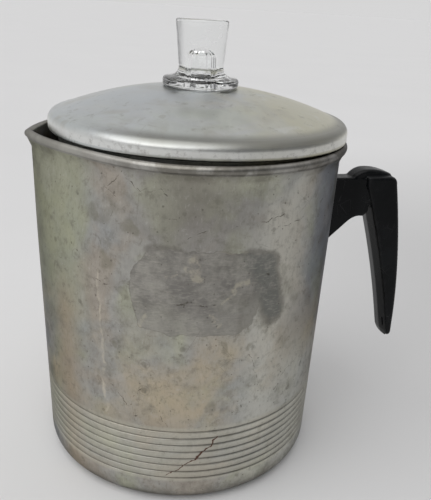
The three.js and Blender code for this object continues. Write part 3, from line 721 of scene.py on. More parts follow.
def spun_metal_material(name, clean, stain, rough, lines):
    """Plain spun or turned aluminium, with a little stain and many fine scratches."""
    material, tree, shader = new_material(name, Metallic=1.0)
    film = use(tree, tarnish, {
        "Clean": clean, "Warm": stain, "Green": clean, "Cool": (0.5, 0.51, 0.52, 1),
        "Patches per metre": 34.0, "Strength": 0.7, "Mottling": 0.2,
    })
    marks_here = use(tree, hairlines, {"Scratches per metre": 120.0, "Width": 0.03, "Cover": 0.5})["Mask"]
    spots = use(tree, specks, {"Specks per metre": 260.0, "Size": 0.3, "Cover": 0.25})["Dots"]
    rubbed = use(tree, worn_edges, {"Reach": 0.05})["Mask"]
    colour = tinted(tree, spots, 0.5, (0.2, 0.15, 0.1), film["Color"])
    colour = tinted(tree, marks_here, 0.4, (0.75, 0.75, 0.73), colour)
    colour = tinted(tree, rubbed, 0.5, (0.72, 0.72, 0.7), colour)
    fill(tree, shader.inputs["Base Color"], colour)
    fill(tree, shader.inputs["Roughness"], calc(tree, "MULTIPLY_ADD", film["Dullness"], 0.2, rough))
    height = use(tree, spun_lines, {"Lines per metre": lines})["Height"]
    height = calc(tree, "MULTIPLY_ADD", marks_here, -0.6, height)
    bump(tree, shader, calc(tree, "MULTIPLY_ADD", spots, -0.6, height), 0.04 * mm)
    return material


cast_metal = spun_metal_material(
    "cast_bracket_aluminium", clean=(0.5, 0.5, 0.48, 1), stain=(0.4, 0.36, 0.29, 1), rough=0.42, lines=300.0
)
rivet_metal = spun_metal_material(
    "rivet_aluminium", clean=(0.6, 0.6, 0.58, 1), stain=(0.45, 0.4, 0.32, 1), rough=0.3, lines=1200.0
)
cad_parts["handle_bracket"].data.materials.clear()
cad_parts["handle_bracket"].data.materials.append(cast_metal)

rivet_shank = 1.8 * mm
rivet_head = 3.2 * mm
rivet_dome = 1.1 * mm
rivet_round = 0.95 * mm
rivet_corner = 0.15 * mm
for side in ("upper", "lower"):
    low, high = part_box("rivet_" + side)
    shaft = [(0, low.x, 0), (rivet_head, low.x, rivet_round), (rivet_head, low.x + rivet_dome, rivet_corner)]
    shaft += [(rivet_shank, low.x + rivet_dome, 0), (rivet_shank, high.x - rivet_dome, 0)]
    shaft += [(rivet_head, high.x - rivet_dome, rivet_corner), (rivet_head, high.x, rivet_round)]
    shaft += [(0, high.x, 0)]
    rivet = turned("rivet_heads_" + side, rounded(shaft), sides=40)
    lay_along_x(rivet, (low.z + high.z) / 2)
    fitted(rivet, "rivet_" + side, "pot", rivet_metal)


# ---------------------------------------------------------------- handle
# One phenolic moulding: a narrow stem that sleeves over the bracket, a wider grip that leans out and
# tapers to its tip, and a pad for the thumb on top. The grip's inner face has a low ridge down it.

handle_low, handle_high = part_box("handle")
grip_top = 163.4 * mm
grip_tip = handle_low.z
grip_reach = handle_high.x
grip_lean = 16.4 * mm
grip_top_thickness = 22.2 * mm
grip_tip_thickness = 4.5 * mm
grip_half_width = handle_high.y
grip_shoulder = 5.2 * mm
grip_ridge = 1.3 * mm
grip_tip_rise = 4.5 * mm
grip_tip_inner = 2.2 * mm
grip_tip_outer = 1.2 * mm
grip_corner_draw = 1.4 * mm
arch_height = grip_top - 22 * mm
stem_half_width = 5.5 * mm
stem_low = grip_top - 47.8 * mm
stem_drop = 0.8 * mm
stem_flare_length = 9 * mm
stem_flare_depth = 4.5 * mm
pad_length = 26 * mm
pad_half_width = 6.2 * mm
pad_end_draw = 1.4 * mm
pad_rise_share = 0.36
pad_fall_share = 0.58
pad_rise = handle_high.z - grip_top
wall_gap = 0.3 * mm


def settled(piece):
    """Applies a piece's modifiers to its mesh."""
    graph = bpy.context.evaluated_depsgraph_get()
    data = bpy.data.meshes.new_from_object(piece.evaluated_get(graph))
    piece.modifiers.clear()
    piece.data = data
    return piece


def carved(piece, cutter, operation="DIFFERENCE"):
    """Takes the cutter's solid away from a piece, or joins it on, and removes the cutter."""
    change = piece.modifiers.new("carve", "BOOLEAN")
    change.object = cutter
    change.operation = operation
    change.solver = "EXACT"
    settled(piece)
    bpy.data.objects.remove(cutter)
    return piece


def loft(name, rings):
    """A closed skin over rings that all have the same number of points."""
    mesh = bmesh.new()
    rows = [[mesh.verts.new(point) for point in ring] for ring in rings]
    count = len(rows[0])
    for here, there in zip(rows, rows[1:]):
        for i in range(count):
            mesh.faces.new((here[i], here[(i + 1) % count], there[(i + 1) % count], there[i]))
    mesh.faces.new(rows[0])
    mesh.faces.new(rows[-1])
    return piece_from(name, mesh)


def box_piece(name, low, high):
    mesh = bmesh.new()
    bmesh.ops.create_cube(mesh, size=1)
    size = Vector(high) - Vector(low)
    bmesh.ops.scale(mesh, vec=size, verts=mesh.verts)
    bmesh.ops.translate(mesh, vec=(Vector(high) + Vector(low)) / 2, verts=mesh.verts)
    return piece_from(name, mesh)


def grip_outer(share):
    return grip_reach - grip_lean * share ** 1.7


def grip_inner(share):
    return grip_outer(share) - grip_tip_thickness - (grip_top_thickness - grip_tip_thickness) * share ** 0.85


def grip_ring(height, inner, outer, half_width):
    """Section of the grip: rounded outer corners, and an inner face that rises to a middle ridge."""
    ridge = min(grip_ridge, (outer - inner) / 4)
    corners = [(inner, 0, 0.5 * mm), (inner + ridge, -half_width, 1.8 * mm), (outer, -half_width, 2.4 * mm)]
    corners += [(outer, half_width, 2.4 * mm), (inner + ridge, half_width, 1.8 * mm)]
    return [(x, y, height) for x, y in rounded(corners, steps=5)]


def grip_body():
    low, high = grip_tip + grip_tip_rise, grip_top - grip_shoulder
    rings = []
    for share, widen in ((0.02, 0.45), (0.25, 0.72), (0.6, 0.92)):
        inner = grip_inner(0) + (1 - share) * grip_tip_inner
        outer = grip_outer(0) - (1 - share) * grip_tip_outer
        rings.append(grip_ring(grip_tip + share * grip_tip_rise, inner, outer, grip_half_width * widen))
    for i in range(21):
        share = i / 20
        height = low + (high - low) * share
        rings.append(grip_ring(height, grip_inner(share), grip_outer(share), grip_half_width))
    for angle in (20, 40, 58, 74, 88):
        drop = grip_shoulder * (1 - math.cos(math.radians(angle)))
        rise = grip_shoulder * math.sin(math.radians(angle))
        narrower = grip_corner_draw * (angle / 88) ** 4
        rings.append(grip_ring(high + rise, grip_inner(1), grip_outer(1) - drop, grip_half_width - narrower))
    return loft("grip", rings)


def stem_body():
    """Stem from the wall to the grip. It flares at the grip, as moulded corners do."""
    start, end = pot_radius - 4 * mm, grip_inner(1) + 5 * mm
    underside = (arch_height - stem_low) / (grip_inner(1) - (pot_radius - pot_wall))
    rings = []
    for i in range(25):
        x = start + (end - start) * i / 24
        near = max(0, 1 - (end - 3 * mm - x) / stem_flare_length) ** 2
        half = stem_half_width + (grip_half_width - 1.5 * mm - stem_half_width) * min(near, 1)
        low = stem_low + underside * (x - (pot_radius - pot_wall)) - stem_flare_depth * min(near, 1)
        high = grip_top - stem_drop
        corners = [(-half, low, 1.2 * mm), (half, low, 1.2 * mm), (half, high, mm), (-half, high, mm)]
        rings.append([(x, y, z) for y, z in rounded(corners, steps=4)])
    return loft("stem", rings)


def thumb_pad():
    """A rounded pad that rises quickly behind the stem and falls slowly towards the grip's corner."""
    end = grip_outer(1) - 3.5 * mm
    rings = []
    for i in range(23):
        share = i / 22
        x = end - pad_length * (1 - share)
        rise = pad_rise * min(math.sin(math.pi * min(share / pad_rise_share, 1) / 2) ** 0.8, 1.0)
        rise *= 1 - max(0, (share - (1 - pad_fall_share)) / pad_fall_share) ** 2 * 0.8
        half = pad_half_width - pad_end_draw * abs(2 * share - 1) ** 3
        low, high = grip_top - 4 * mm, grip_top - stem_drop + max(rise + stem_drop, 0.3 * mm)
        corners = [(-half, low, 0.4 * mm), (half, low, 0.4 * mm)]
        corners += [(half, high, 2 * mm), (-half, high, 2 * mm)]
        rings.append([(x, y, z) for y, z in rounded(corners, steps=4)])
    return loft("pad", rings)


def moulded(name, parts, grain, softening):
    """Melts overlapping solids into one body with the soft inner corners of a moulding."""
    mesh = bmesh.new()
    for part in parts:
        mesh.from_mesh(part.data)
        bpy.data.objects.remove(part)
    body = piece_from(name, mesh)
    melt = body.modifiers.new("melt", "REMESH")
    melt.mode = "VOXEL"
    melt.voxel_size = grain
    soften = body.modifiers.new("soften", "SMOOTH")
    soften.iterations = softening
    return settled(body)


handle = moulded("moulded_handle", [grip_body(), stem_body(), thumb_pad()], grain=0.5 * mm, softening=6)
past_top = 0.3
wall_space = [(0, 0), (pot_radius + wall_gap, 0), (pot_radius + wall_gap, past_top), (0, past_top)]
carved(handle, turned("wall_cut", wall_space, 256))
bracket_low, bracket_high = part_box("handle_bracket")
bracket_room = Vector((0.45, 0.45, 0.45)) * mm
carved(handle, box_piece(
    "bracket_cut", Vector((pot_radius, bracket_low.y, bracket_low.z)) - bracket_room,
    Vector((pot_radius + 4 * mm, bracket_high.y, bracket_high.z)) + bracket_room,
))
screw_low, screw_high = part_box("handle_screw")
screw_height = (screw_low.z + screw_high.z) / 2
head_radius = (screw_high.z - screw_low.z) / 2
washer_low, washer_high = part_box("lock_washer")
pocket_radius = head_radius + 0.4 * mm
pocket_floor = washer_low.x - 0.3 * mm
pocket_space = [(0, pocket_floor), (pocket_radius, pocket_floor)]
pocket_space += [(pocket_radius, grip_reach + mm), (0, grip_reach + mm)]
pocket = turned("pocket_cut", pocket_space, 48)
lay_along_x(pocket, screw_height)
carved(handle, pocket)
slot_height = grip_tip + 11 * mm
slot_x = grip_inner(0.06)
slot_half_length = 3.5 * mm
carved(handle, box_piece(
    "tip_slot", (slot_x - 2 * mm, -5.2 * mm, slot_height - slot_half_length),
    (slot_x + 1.6 * mm, -3.6 * mm, slot_height + slot_half_length),
))
carved(handle, box_piece(
    "tip_notch", (grip_inner(0), -8.6 * mm, grip_tip - mm),
    (grip_inner(0) + 3.4 * mm, -4.6 * mm, grip_tip + 2.2 * mm),
))
handle.data.shade_smooth()
handle.data.set_sharp_from_angle(angle=math.radians(50))


def phenolic_material():
    """Black phenolic, moulded glossy and dulled by years of hands and washing."""
    material, tree, shader = new_material("black_phenolic", IOR=1.45, Specular_IOR_Level=0.16)
    spot = position(tree)
    cloud = noise(tree, spot, 45, detail=5, distortion=0.4)
    colour = mix(tree, step(tree, cloud, 0.35, 0.7), (0.0018, 0.0022, 0.0026, 1), (0.005, 0.0058, 0.0066, 1))
    worn = use(tree, worn_edges, {"Reach": 0.05, "Raggedness": 1.2})["Mask"]
    colour = tinted(tree, worn, 0.35, (0.05, 0.05, 0.052), colour)
    film = use(tree, settled_dust, {"Amount": 0.35})["Mask"]
    colour = tinted(tree, film, 0.05, (0.2, 0.2, 0.2), colour)
    lines = use(tree, hairlines, {"Scratches per metre": 150.0, "Width": 0.022, "Cover": 0.4})["Mask"]
    colour = tinted(tree, lines, 0.3, (0.06, 0.06, 0.06), colour)
    fill(tree, shader.inputs["Base Color"], colour)
    fine = noise(tree, spot, 900, detail=3, seed=2)
    rough = calc(tree, "MULTIPLY_ADD", cloud, 0.2, 0.16)
    rough = calc(tree, "MULTIPLY_ADD", film, 0.4, rough)
    fill(tree, shader.inputs["Roughness"], calc(tree, "MULTIPLY_ADD", lines, 0.15, rough))
    relief = calc(tree, "MULTIPLY_ADD", lines, -0.6, fine)
    bump(tree, shader, calc(tree, "MULTIPLY_ADD", cloud, 1.5, relief), 0.02 * mm)
    return material


fitted(handle, "handle", "pot", phenolic_material())


# ---------------------------------------------------------------- handle screw and lock washer
# A slotted steel screw runs through the grip into the bracket's boss. A split spring washer under
# its head keeps it from working loose.


def steel_material():
    material, tree, shader = new_material("plain_steel", Metallic=1.0)
    spot = position(tree)
    film = use(tree, tarnish, {
        "Clean": (0.42, 0.42, 0.43, 1), "Warm": (0.3, 0.2, 0.12, 1), "Green": (0.38, 0.37, 0.35, 1),
        "Cool": (0.36, 0.38, 0.41, 1), "Patches per metre": 120.0, "Strength": 0.5, "Mottling": 0.3,
    })
    rust = step(tree, noise(tree, spot, 500, detail=5, seed=3), 0.62, 0.75)
    colour = tinted(tree, rust, 0.5, (0.16, 0.07, 0.03), film["Color"])
    rubbed = use(tree, worn_edges, {"Reach": 0.05})["Mask"]
    colour = tinted(tree, rubbed, 0.6, (0.62, 0.62, 0.62), colour)
    fill(tree, shader.inputs["Base Color"], colour)
    fill(tree, shader.inputs["Roughness"], calc(tree, "MULTIPLY_ADD", rust, 0.4, 0.28))
    bump(tree, shader, noise(tree, spot, 1400, detail=3), 0.03 * mm)
    return material


steel = steel_material()
screw_shank = 2 * mm
head_height = 2.6 * mm
head_start = screw_high.x - head_height
shank = [(0, screw_low.x, 0), (screw_shank * 0.7, screw_low.x, 0.2 * mm), (screw_shank, screw_low.x + mm, 0)]
shank += [(screw_shank, head_start, 0.2 * mm), (head_radius, head_start, 0.2 * mm)]
shank += [(head_radius, screw_high.x, 1.7 * mm), (0, screw_high.x, 0)]
screw = turned("slotted_screw", rounded(shank), sides=48)
lay_along_x(screw, screw_height)
carved(screw, box_piece(
    "slot_cut", (screw_high.x - 1.1 * mm, -head_radius * 1.1, screw_height - 0.5 * mm),
    (screw_high.x + mm, head_radius * 1.1, screw_height + 0.5 * mm),
))
fitted(screw, "handle_screw", "pot", steel)

washer_radius = (washer_high.z - washer_low.z) / 2
edge = 0.18 * mm
hoop = [(screw_shank + 0.4 * mm, washer_low.x, edge), (washer_radius, washer_low.x, edge)]
hoop += [(washer_radius, washer_high.x, edge), (screw_shank + 0.4 * mm, washer_high.x, edge)]
washer = turned("split_washer", rounded(hoop, steps=3), sides=64)
lay_along_x(washer, screw_height)
half_split = 0.4 * mm
carved(washer, box_piece(
    "split_cut", (washer_low.x - mm, 0, screw_height - half_split),
    (washer_high.x + mm, washer_radius * 1.2, screw_height + half_split),
))
fitted(washer, "lock_washer", "pot", steel)


# ---------------------------------------------------------------- lid
# The lid is spun from one aluminium sheet: a low dome, a rolled shoulder, an edge folded under to
# rest on the bead, and a skirt that drops into the mouth. A hole in its middle takes the knob.

lid_low, lid_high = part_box("lid_shell")
lid_centre = (lid_low.x + lid_high.x) / 2
lid_radius = (lid_high.x - lid_low.x) / 2
lid_sheet = 1 * mm
lid_shoulder = 4.8 * mm
lid_edge = pot_height + 0.3 * mm
lid_edge_height = 4.1 * mm
lid_skirt_radius = 74.6 * mm
lid_seat = 21 * mm
lid_dome_power = 2.2
lid_hole = 12.6 * mm
dome_radius = lid_radius - lid_shoulder
dome_base = lid_edge + lid_edge_height + lid_shoulder
dome_rise = lid_high.z - dome_base


def dome_height(radius):
    """Height of the dome's outer face, with a flat seat for the knob in the middle."""
    if radius <= lid_seat:
        return lid_high.z
    curve = 1 - (radius / dome_radius) ** lid_dome_power
    lost = dome_rise * (lid_seat / dome_radius) ** lid_dome_power
    return dome_base + dome_rise * curve + lost * (dome_radius - radius) / (dome_radius - lid_seat)


def lid_outline():
    radii = [lid_seat + (dome_radius - lid_seat) * i / 28 for i in range(28)]
    shoulder = lid_edge + lid_edge_height
    outside = [(lid_hole, lid_high.z), (lid_seat - 2 * mm, lid_high.z)]
    outside += [(radius, dome_height(radius)) for radius in radii]
    outside += arc(dome_radius, shoulder, lid_shoulder, 90, 0, 14)
    outside += arc(lid_radius - lid_sheet, lid_edge + lid_sheet, lid_sheet, 0, -90, 6)
    inside = [(lid_skirt_radius + 0.8 * mm, lid_edge), (lid_skirt_radius, lid_edge - 0.8 * mm)]
    inside += [(lid_skirt_radius, lid_low.z + 0.5 * mm), (lid_skirt_radius - 0.5 * mm, lid_low.z)]
    inside += [(lid_skirt_radius - lid_sheet, lid_low.z + 0.5 * mm)]
    inside += [(lid_skirt_radius - lid_sheet, lid_edge + 3 * lid_sheet)]
    inside += [(dome_radius, lid_edge + 4 * lid_sheet)]
    inside += arc(dome_radius, shoulder, lid_shoulder - lid_sheet, 30, 90, 8)
    inside += [(radius, dome_height(radius) - lid_sheet) for radius in reversed(radii)]
    inside += [(lid_seat - 2 * mm, lid_high.z - lid_sheet), (lid_hole, lid_high.z - lid_sheet)]
    return outside + inside


lid = turned("spun_lid", lid_outline(), sides=192)
lid.data.transform(Matrix.Translation((lid_centre, 0, 0)))

lug_count = 4
lug_width = 6 * mm
lug_play = 0.6 * mm
notch_half_depth = 3 * mm
knob_low, knob_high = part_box("glass_knob")
notch_reach = lid_hole + 3.4 * mm
for turn in range(lug_count // 2):
    notch = box_piece(
        "notch_cut", (-notch_reach, -lug_width / 2 - lug_play, lid_high.z - notch_half_depth),
        (notch_reach, lug_width / 2 + lug_play, lid_high.z + notch_half_depth),
    )
    angle = math.radians(180 / lug_count + 360 / lug_count * turn)
    notch.data.transform(Matrix.Translation((lid_centre, 0, 0)) @ Matrix.Rotation(angle, 4, "Z"))
    carved(lid, notch)


def lid_material():
    """Cleaner and smoother than the pot: bluish towards the lip, straw-coloured towards the handle."""
    material, tree, shader = new_material("worn_lid_aluminium", Metallic=1.0)
    spot = position(tree)
    along, _, height = add(tree, "SeparateXYZ", {0: spot}).outputs
    film = use(tree, tarnish, {
        "Clean": (0.6, 0.61, 0.6, 1), "Warm": (0.6, 0.58, 0.5, 1), "Green": (0.57, 0.6, 0.52, 1),
        "Cool": (0.53, 0.57, 0.6, 1), "Patches per metre": 16.0, "Strength": 0.6, "Mottling": 0.14,
    })
    drift = noise(tree, spot, 24, detail=5, distortion=0.8, seed=3)
    leaned = calc(tree, "MULTIPLY_ADD", drift, 0.09, along)
    blue = step(tree, leaned, 0.05, -0.02)
    colour = tinted(tree, blue, 0.6, (0.56, 0.6, 0.62), film["Color"])
    straw = band(tree, leaned, 0.065, 0.13, 0.018)
    colour = tinted(tree, straw, 0.8, (0.58, 0.56, 0.42), colour)
    smear = noise(tree, spot, 38, detail=6, distortion=1.0, seed=21, roughness=0.6)
    colour = tinted(tree, step(tree, smear, 0.5, 0.66), 0.45, (0.42, 0.41, 0.36), colour)
    colour = tinted(tree, step(tree, smear, 0.42, 0.3), 0.4, (0.7, 0.71, 0.69), colour)
    grime = step(tree, noise(tree, spot, 150, detail=8, seed=11, roughness=0.7), 0.54, 0.7)
    colour = tinted(tree, grime, 0.45, (0.3, 0.29, 0.25), colour)
    lines = use(tree, hairlines, {"Scratches per metre": 60.0, "Width": 0.012, "Cover": 0.35})["Mask"]
    colour = tinted(tree, lines, 0.4, (0.3, 0.29, 0.27), colour)
    spots = use(tree, specks, {"Specks per metre": 85.0, "Size": 0.2, "Cover": 0.28})
    spotted = calc(tree, "MULTIPLY_ADD", spots["Rings"], 0.3, spots["Dots"])
    colour = tinted(tree, spotted, 0.3, (0.32, 0.3, 0.25), colour)
    low_edge = step(tree, height, lid_edge + 8 * mm, lid_edge + 4 * mm)
    # painted highlight: a bright band is painted low on the rolled shoulder
    bright = times(tree, low_edge, step(tree, height, lid_edge + 1.2 * mm, lid_edge + 2.2 * mm))
    colour = tinted(tree, bright, 0.7, (0.86, 0.86, 0.83), colour)
    # painted shade: a dark band is painted round the top of the shoulder, except on the lip side
    shoulder = band(tree, height, lid_edge + 6.4 * mm, lid_edge + 9.6 * mm, 1.2 * mm)
    shoulder = times(tree, shoulder, step(tree, along, -0.065, -0.03))
    colour = tinted(tree, shoulder, 0.85, (0.25, 0.25, 0.23), colour)
    rubbed = step(tree, noise(tree, spot, 240, detail=7, seed=4, roughness=0.7), 0.5, 0.66)
    scuff = times(tree, low_edge, rubbed)
    colour = tinted(tree, scuff, 0.5, (0.3, 0.29, 0.27), colour)
    fill(tree, shader.inputs["Base Color"], colour)
    rough = calc(tree, "MULTIPLY_ADD", film["Dullness"], 0.16, 0.25)
    rough = calc(tree, "MULTIPLY_ADD", shoulder, 0.08, rough)
    fill(tree, shader.inputs["Roughness"], calc(tree, "MULTIPLY_ADD", grime, 0.12, rough))
    axis = {"Axis at": (lid_centre, 0, 0), "Lines per metre": 1300.0}
    relief = times(tree, use(tree, spun_lines, axis)["Height"], 0.12)
    relief = calc(tree, "MULTIPLY_ADD", noise(tree, spot, 20, detail=3, seed=8), 2.2, relief)
    relief = calc(tree, "MULTIPLY_ADD", lines, -0.35, relief)
    bump(tree, shader, calc(tree, "MULTIPLY_ADD", spots["Dots"], -0.3, relief), 0.1 * mm)
    return material


fitted(lid, "lid_shell", "lid", lid_material())


# ---------------------------------------------------------------- glass knob
# Pressed clear glass: a thick flange on the lid, a waisted neck that flares to a flat top, and a
# domed hollow in which the coffee can be watched. Four lugs under the lid lock it by an eighth turn.

flange_radius = 20 * mm
flange_thickness = 4.4 * mm
neck_radius = 11.6 * mm
neck_rise = 9 * mm
top_radius = 13.9 * mm
hollow_radius = 5.5 * mm
hollow_height = 19 * mm
stub_radius = 12 * mm
lug_reach = 3.2 * mm
lug_height = 2.6 * mm
knob_seat = lid_high.z + 0.3 * mm


def knob_outline():
    flange_top = knob_seat + flange_thickness
    body = [(stub_radius, knob_low.z, 0.5 * mm), (stub_radius, knob_seat, 0.3 * mm)]
    body += [(flange_radius, knob_seat, 1.3 * mm), (flange_radius, flange_top, 1.7 * mm)]
    body += [(neck_radius + 1.8 * mm, flange_top + mm, 4 * mm)]
    body += [(neck_radius, knob_seat + neck_rise, 5 * mm)]
    body += [(top_radius, knob_high.z, 1.3 * mm)]
    outside = rounded(body + [(0, knob_high.z, 0)], closed=False, steps=7)
    dome = arc(0, knob_seat + hollow_height - hollow_radius, hollow_radius, 90, 0, 12)
    inside = [(hollow_radius + 0.3 * mm, knob_seat + 2 * mm), (hollow_radius + 0.8 * mm, knob_low.z)]
    return outside + dome + inside


knob = turned("pressed_glass_knob", knob_outline(), sides=96, sharp=60)
for vertex in knob.data.vertices:
    rise = max(0, (vertex.co.z - knob_seat - neck_rise) / (knob_high.z - knob_seat - neck_rise))
    angle = math.atan2(vertex.co.y, vertex.co.x)
    wave = 1 + 0.012 * rise ** 2 * math.cos(9 * angle) - 0.012 * rise ** 2
    if math.hypot(vertex.co.x, vertex.co.y) < hollow_radius * 1.2:
        wave = 1 + 0.03 * math.cos(12 * angle)
    vertex.co.x *= wave
    vertex.co.y *= wave
for turn in range(lug_count):
    lug = box_piece(
        "lug", (stub_radius - mm, -lug_width / 2, knob_low.z),
        (stub_radius + lug_reach, lug_width / 2, knob_low.z + lug_height),
    )
    lug.data.transform(Matrix.Rotation(2 * math.pi * turn / lug_count, 4, "Z"))
    carved(knob, lug, "UNION")
knob.data.transform(Matrix.Translation((lid_centre, 0, 0)))
knob.data.shade_smooth()
knob.data.set_sharp_from_angle(angle=math.radians(50))


def knob_glass_material():
    material, tree, shader = new_material(
        "clear_pressed_glass", IOR=1.5, Metallic=0.0, Transmission_Weight=1.0
    )
    spot = position(tree)
    film = use(tree, settled_dust, {"Amount": 0.3})["Mask"]
    colour = tinted(tree, film, 0.1, (0.85, 0.86, 0.86), (0.985, 0.993, 0.99, 1))
    fill(tree, shader.inputs["Base Color"], colour)
    lines = use(tree, hairlines, {"Scratches per metre": 260.0, "Width": 0.02, "Cover": 0.3})["Mask"]
    fill(tree, shader.inputs["Roughness"], calc(tree, "MULTIPLY_ADD", lines, 0.05, 0.01))
    wave = noise(tree, spot, 110, detail=2, seed=4)
    bump(tree, shader, calc(tree, "MULTIPLY_ADD", lines, -0.05, wave), 0.2 * mm)
    return material


fitted(knob, "glass_knob", "knob", knob_glass_material())


# ---------------------------------------------------------------- pump: tube, foot, valve and stop
# The pump stands loose in the pot. A drawn tube is swaged into a domed foot, a small cage under the
# foot holds a loose valve disc, and a collar on the tube carries the basket.


def sheet(path, thickness):
    """Closed outline of a bent sheet, from the corners (radius, height, fillet) of its middle."""
    middle = [Vector(point) for point in rounded(path, closed=False, steps=5)]
    left, right = [], []
    for i, point in enumerate(middle):
        run = middle[min(i + 1, len(middle) - 1)] - middle[max(i - 1, 0)]
        across = Vector((-run.y, run.x)).normalized() * thickness / 2
        left.append((point + across)[:])
        right.append((point - across)[:])
    return left + right[::-1]


pump_metal = spun_metal_material(
    "pump_aluminium", clean=(0.56, 0.56, 0.54, 1), stain=(0.36, 0.27, 0.17, 1), rough=0.34, lines=1400.0
)


tube_low, tube_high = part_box("pump_tube")
tube_radius = tube_high.y
tube_bore = 4 * mm
lip = 0.3 * mm
tube_wall = [(tube_bore, tube_low.z, lip), (tube_radius, tube_low.z, lip)]
tube_wall += [(tube_radius, tube_high.z, lip), (tube_bore, tube_high.z, lip)]
tube = turned("riser_tube", rounded(tube_wall, steps=3), sides=56)
fitted(tube, "pump_tube", "pump", pump_metal)

foot_low, foot_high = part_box("pump_foot")
foot_sheet = 1 * mm
foot_radius = foot_high.y - foot_sheet / 2
foot_flat = foot_high.z - 14 * mm + foot_sheet / 2
foot_neck = tube_radius + 0.3 * mm + foot_sheet / 2
foot_path = [(foot_neck, foot_high.z, 0), (foot_neck, foot_flat, 1.2 * mm), (13 * mm, foot_flat, 3 * mm)]
foot_path += [(foot_radius, foot_low.z + 2.9 * mm, 2.2 * mm), (foot_radius, foot_low.z, 0)]
foot = turned("domed_foot", sheet(foot_path, foot_sheet), sides=120)


def drill(rings, hole_radius, low, high):
    """One object of upright pins on rings (radius, count), to cut a pattern of holes."""
    mesh = bmesh.new()
    for ring_radius, count in rings:
        for i in range(count):
            turn = 2 * math.pi * i / count
            middle = (ring_radius * math.cos(turn), ring_radius * math.sin(turn), (low + high) / 2)
            bmesh.ops.create_cone(
                mesh, cap_ends=True, segments=18, radius1=hole_radius, radius2=hole_radius,
                depth=high - low, matrix=Matrix.Translation(middle),
            )
    return piece_from("drill", mesh)


def drilled(piece, rings, hole, low, high):
    """Drills rings of holes through a floor, and keeps its level faces flat-shaded round them."""
    carved(piece, drill(rings, hole, low, high))
    for face in piece.data.polygons:
        face.use_smooth = abs(face.normal.z) < 0.9995


foot_ring = (24.5 * mm, 8)
foot_hole_radius = 2.6 * mm
drilled(foot, [foot_ring], foot_hole_radius, foot_low.z, foot_high.z)
fitted(foot, "pump_foot", "pump", pump_metal)

cage_low, cage_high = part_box("valve_cage")
cage_sheet = 0.8 * mm
cage_radius = cage_high.y - cage_sheet / 2
cage_floor = cage_low.z + cage_sheet / 2
cage_path = [(3.5 * mm, cage_floor, 0), (cage_radius, cage_floor, 1.4 * mm), (cage_radius, cage_high.z, 0)]
cage = turned("disc_cage", sheet(cage_path, cage_sheet), sides=72)
fitted(cage, "valve_cage", "pump", pump_metal)

disc_low, disc_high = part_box("valve_washer")
disc_edge = 0.2 * mm
disc_outline = [(0, disc_low.z, 0), (disc_high.y, disc_low.z, disc_edge)]
disc_outline += [(disc_high.y, disc_high.z, disc_edge), (0, disc_high.z, 0)]
disc = turned("valve_disc", rounded(disc_outline, steps=3), sides=56)
fitted(disc, "valve_washer", "valve", steel)

stop_low, stop_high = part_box("basket_stop")
stop_bore = tube_radius + 0.3 * mm
stop_slope = 1.5 * mm
stop_outline = [(stop_bore, stop_low.z, 0.3 * mm), (stop_high.y - stop_slope, stop_low.z, 0.6 * mm)]
stop_outline += [(stop_high.y, stop_low.z + stop_slope, 0.8 * mm), (stop_high.y, stop_high.z, 0.5 * mm)]
stop_outline += [(stop_bore, stop_high.z, 0.3 * mm)]
stop = turned("stop_collar", rounded(stop_outline, steps=4), sides=64)
fitted(stop, "basket_stop", "pump", pump_metal)


# ---------------------------------------------------------------- basket and its cover
# The basket for the grounds is a spun cup with a holed floor, a beaded rim and a sleeve that slides
# over the tube. A holed dish on its rim spreads the hot water over the coffee.

basket_metal = spun_metal_material(
    "basket_aluminium", clean=(0.53, 0.52, 0.49, 1), stain=(0.3, 0.2, 0.11, 1), rough=0.38, lines=1100.0
)
basket_low, basket_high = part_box("basket_shell")
basket_radius = 58 * mm
basket_sheet = 0.8 * mm
basket_corner = 5 * mm
basket_rim = 1.2 * mm
rim_outer = basket_high.y
sleeve_low, sleeve_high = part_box("basket_sleeve")
sleeve_bore = tube_radius + 0.6 * mm
sleeve_sheet = 0.9 * mm
sleeve_radius = sleeve_bore + sleeve_sheet
floor_hole = sleeve_radius + 0.3 * mm
cup = [(floor_hole, basket_low.z, 0.2 * mm), (basket_radius, basket_low.z, basket_corner)]
cup += [(basket_radius, basket_high.z - 2 * basket_rim, 0.4 * mm)]
cup += [(rim_outer, basket_high.z - 2 * basket_rim, basket_rim), (rim_outer, basket_high.z, basket_rim)]
cup += [(basket_radius - basket_sheet, basket_high.z, basket_rim)]
cup += [(basket_radius - basket_sheet, basket_low.z + basket_sheet, basket_corner - basket_sheet)]
cup += [(floor_hole, basket_low.z + basket_sheet, 0.2 * mm)]
basket = turned("grounds_basket", rounded(cup), sides=144)
floor_rings = [(18 * mm, 8), (31.25 * mm, 12), (44.5 * mm, 18)]
floor_hole_radius = 1.3 * mm
drilled(basket, floor_rings, floor_hole_radius, basket_low.z - mm, basket_low.z + 2 * mm)
fitted(basket, "basket_shell", "basket", basket_metal)

sleeve_middle = sleeve_radius - sleeve_sheet / 2
sleeve_flange = sleeve_low.z + sleeve_sheet / 2
sleeve_flange_radius = 9.5 * mm
sleeve_path = [(sleeve_flange_radius, sleeve_flange, 0), (sleeve_middle, sleeve_flange, 0.5 * mm)]
sleeve_path += [(sleeve_middle, sleeve_high.z, 0)]
sleeve = turned("basket_tube", sheet(sleeve_path, sleeve_sheet), sides=56)
fitted(sleeve, "basket_sleeve", "basket", basket_metal)

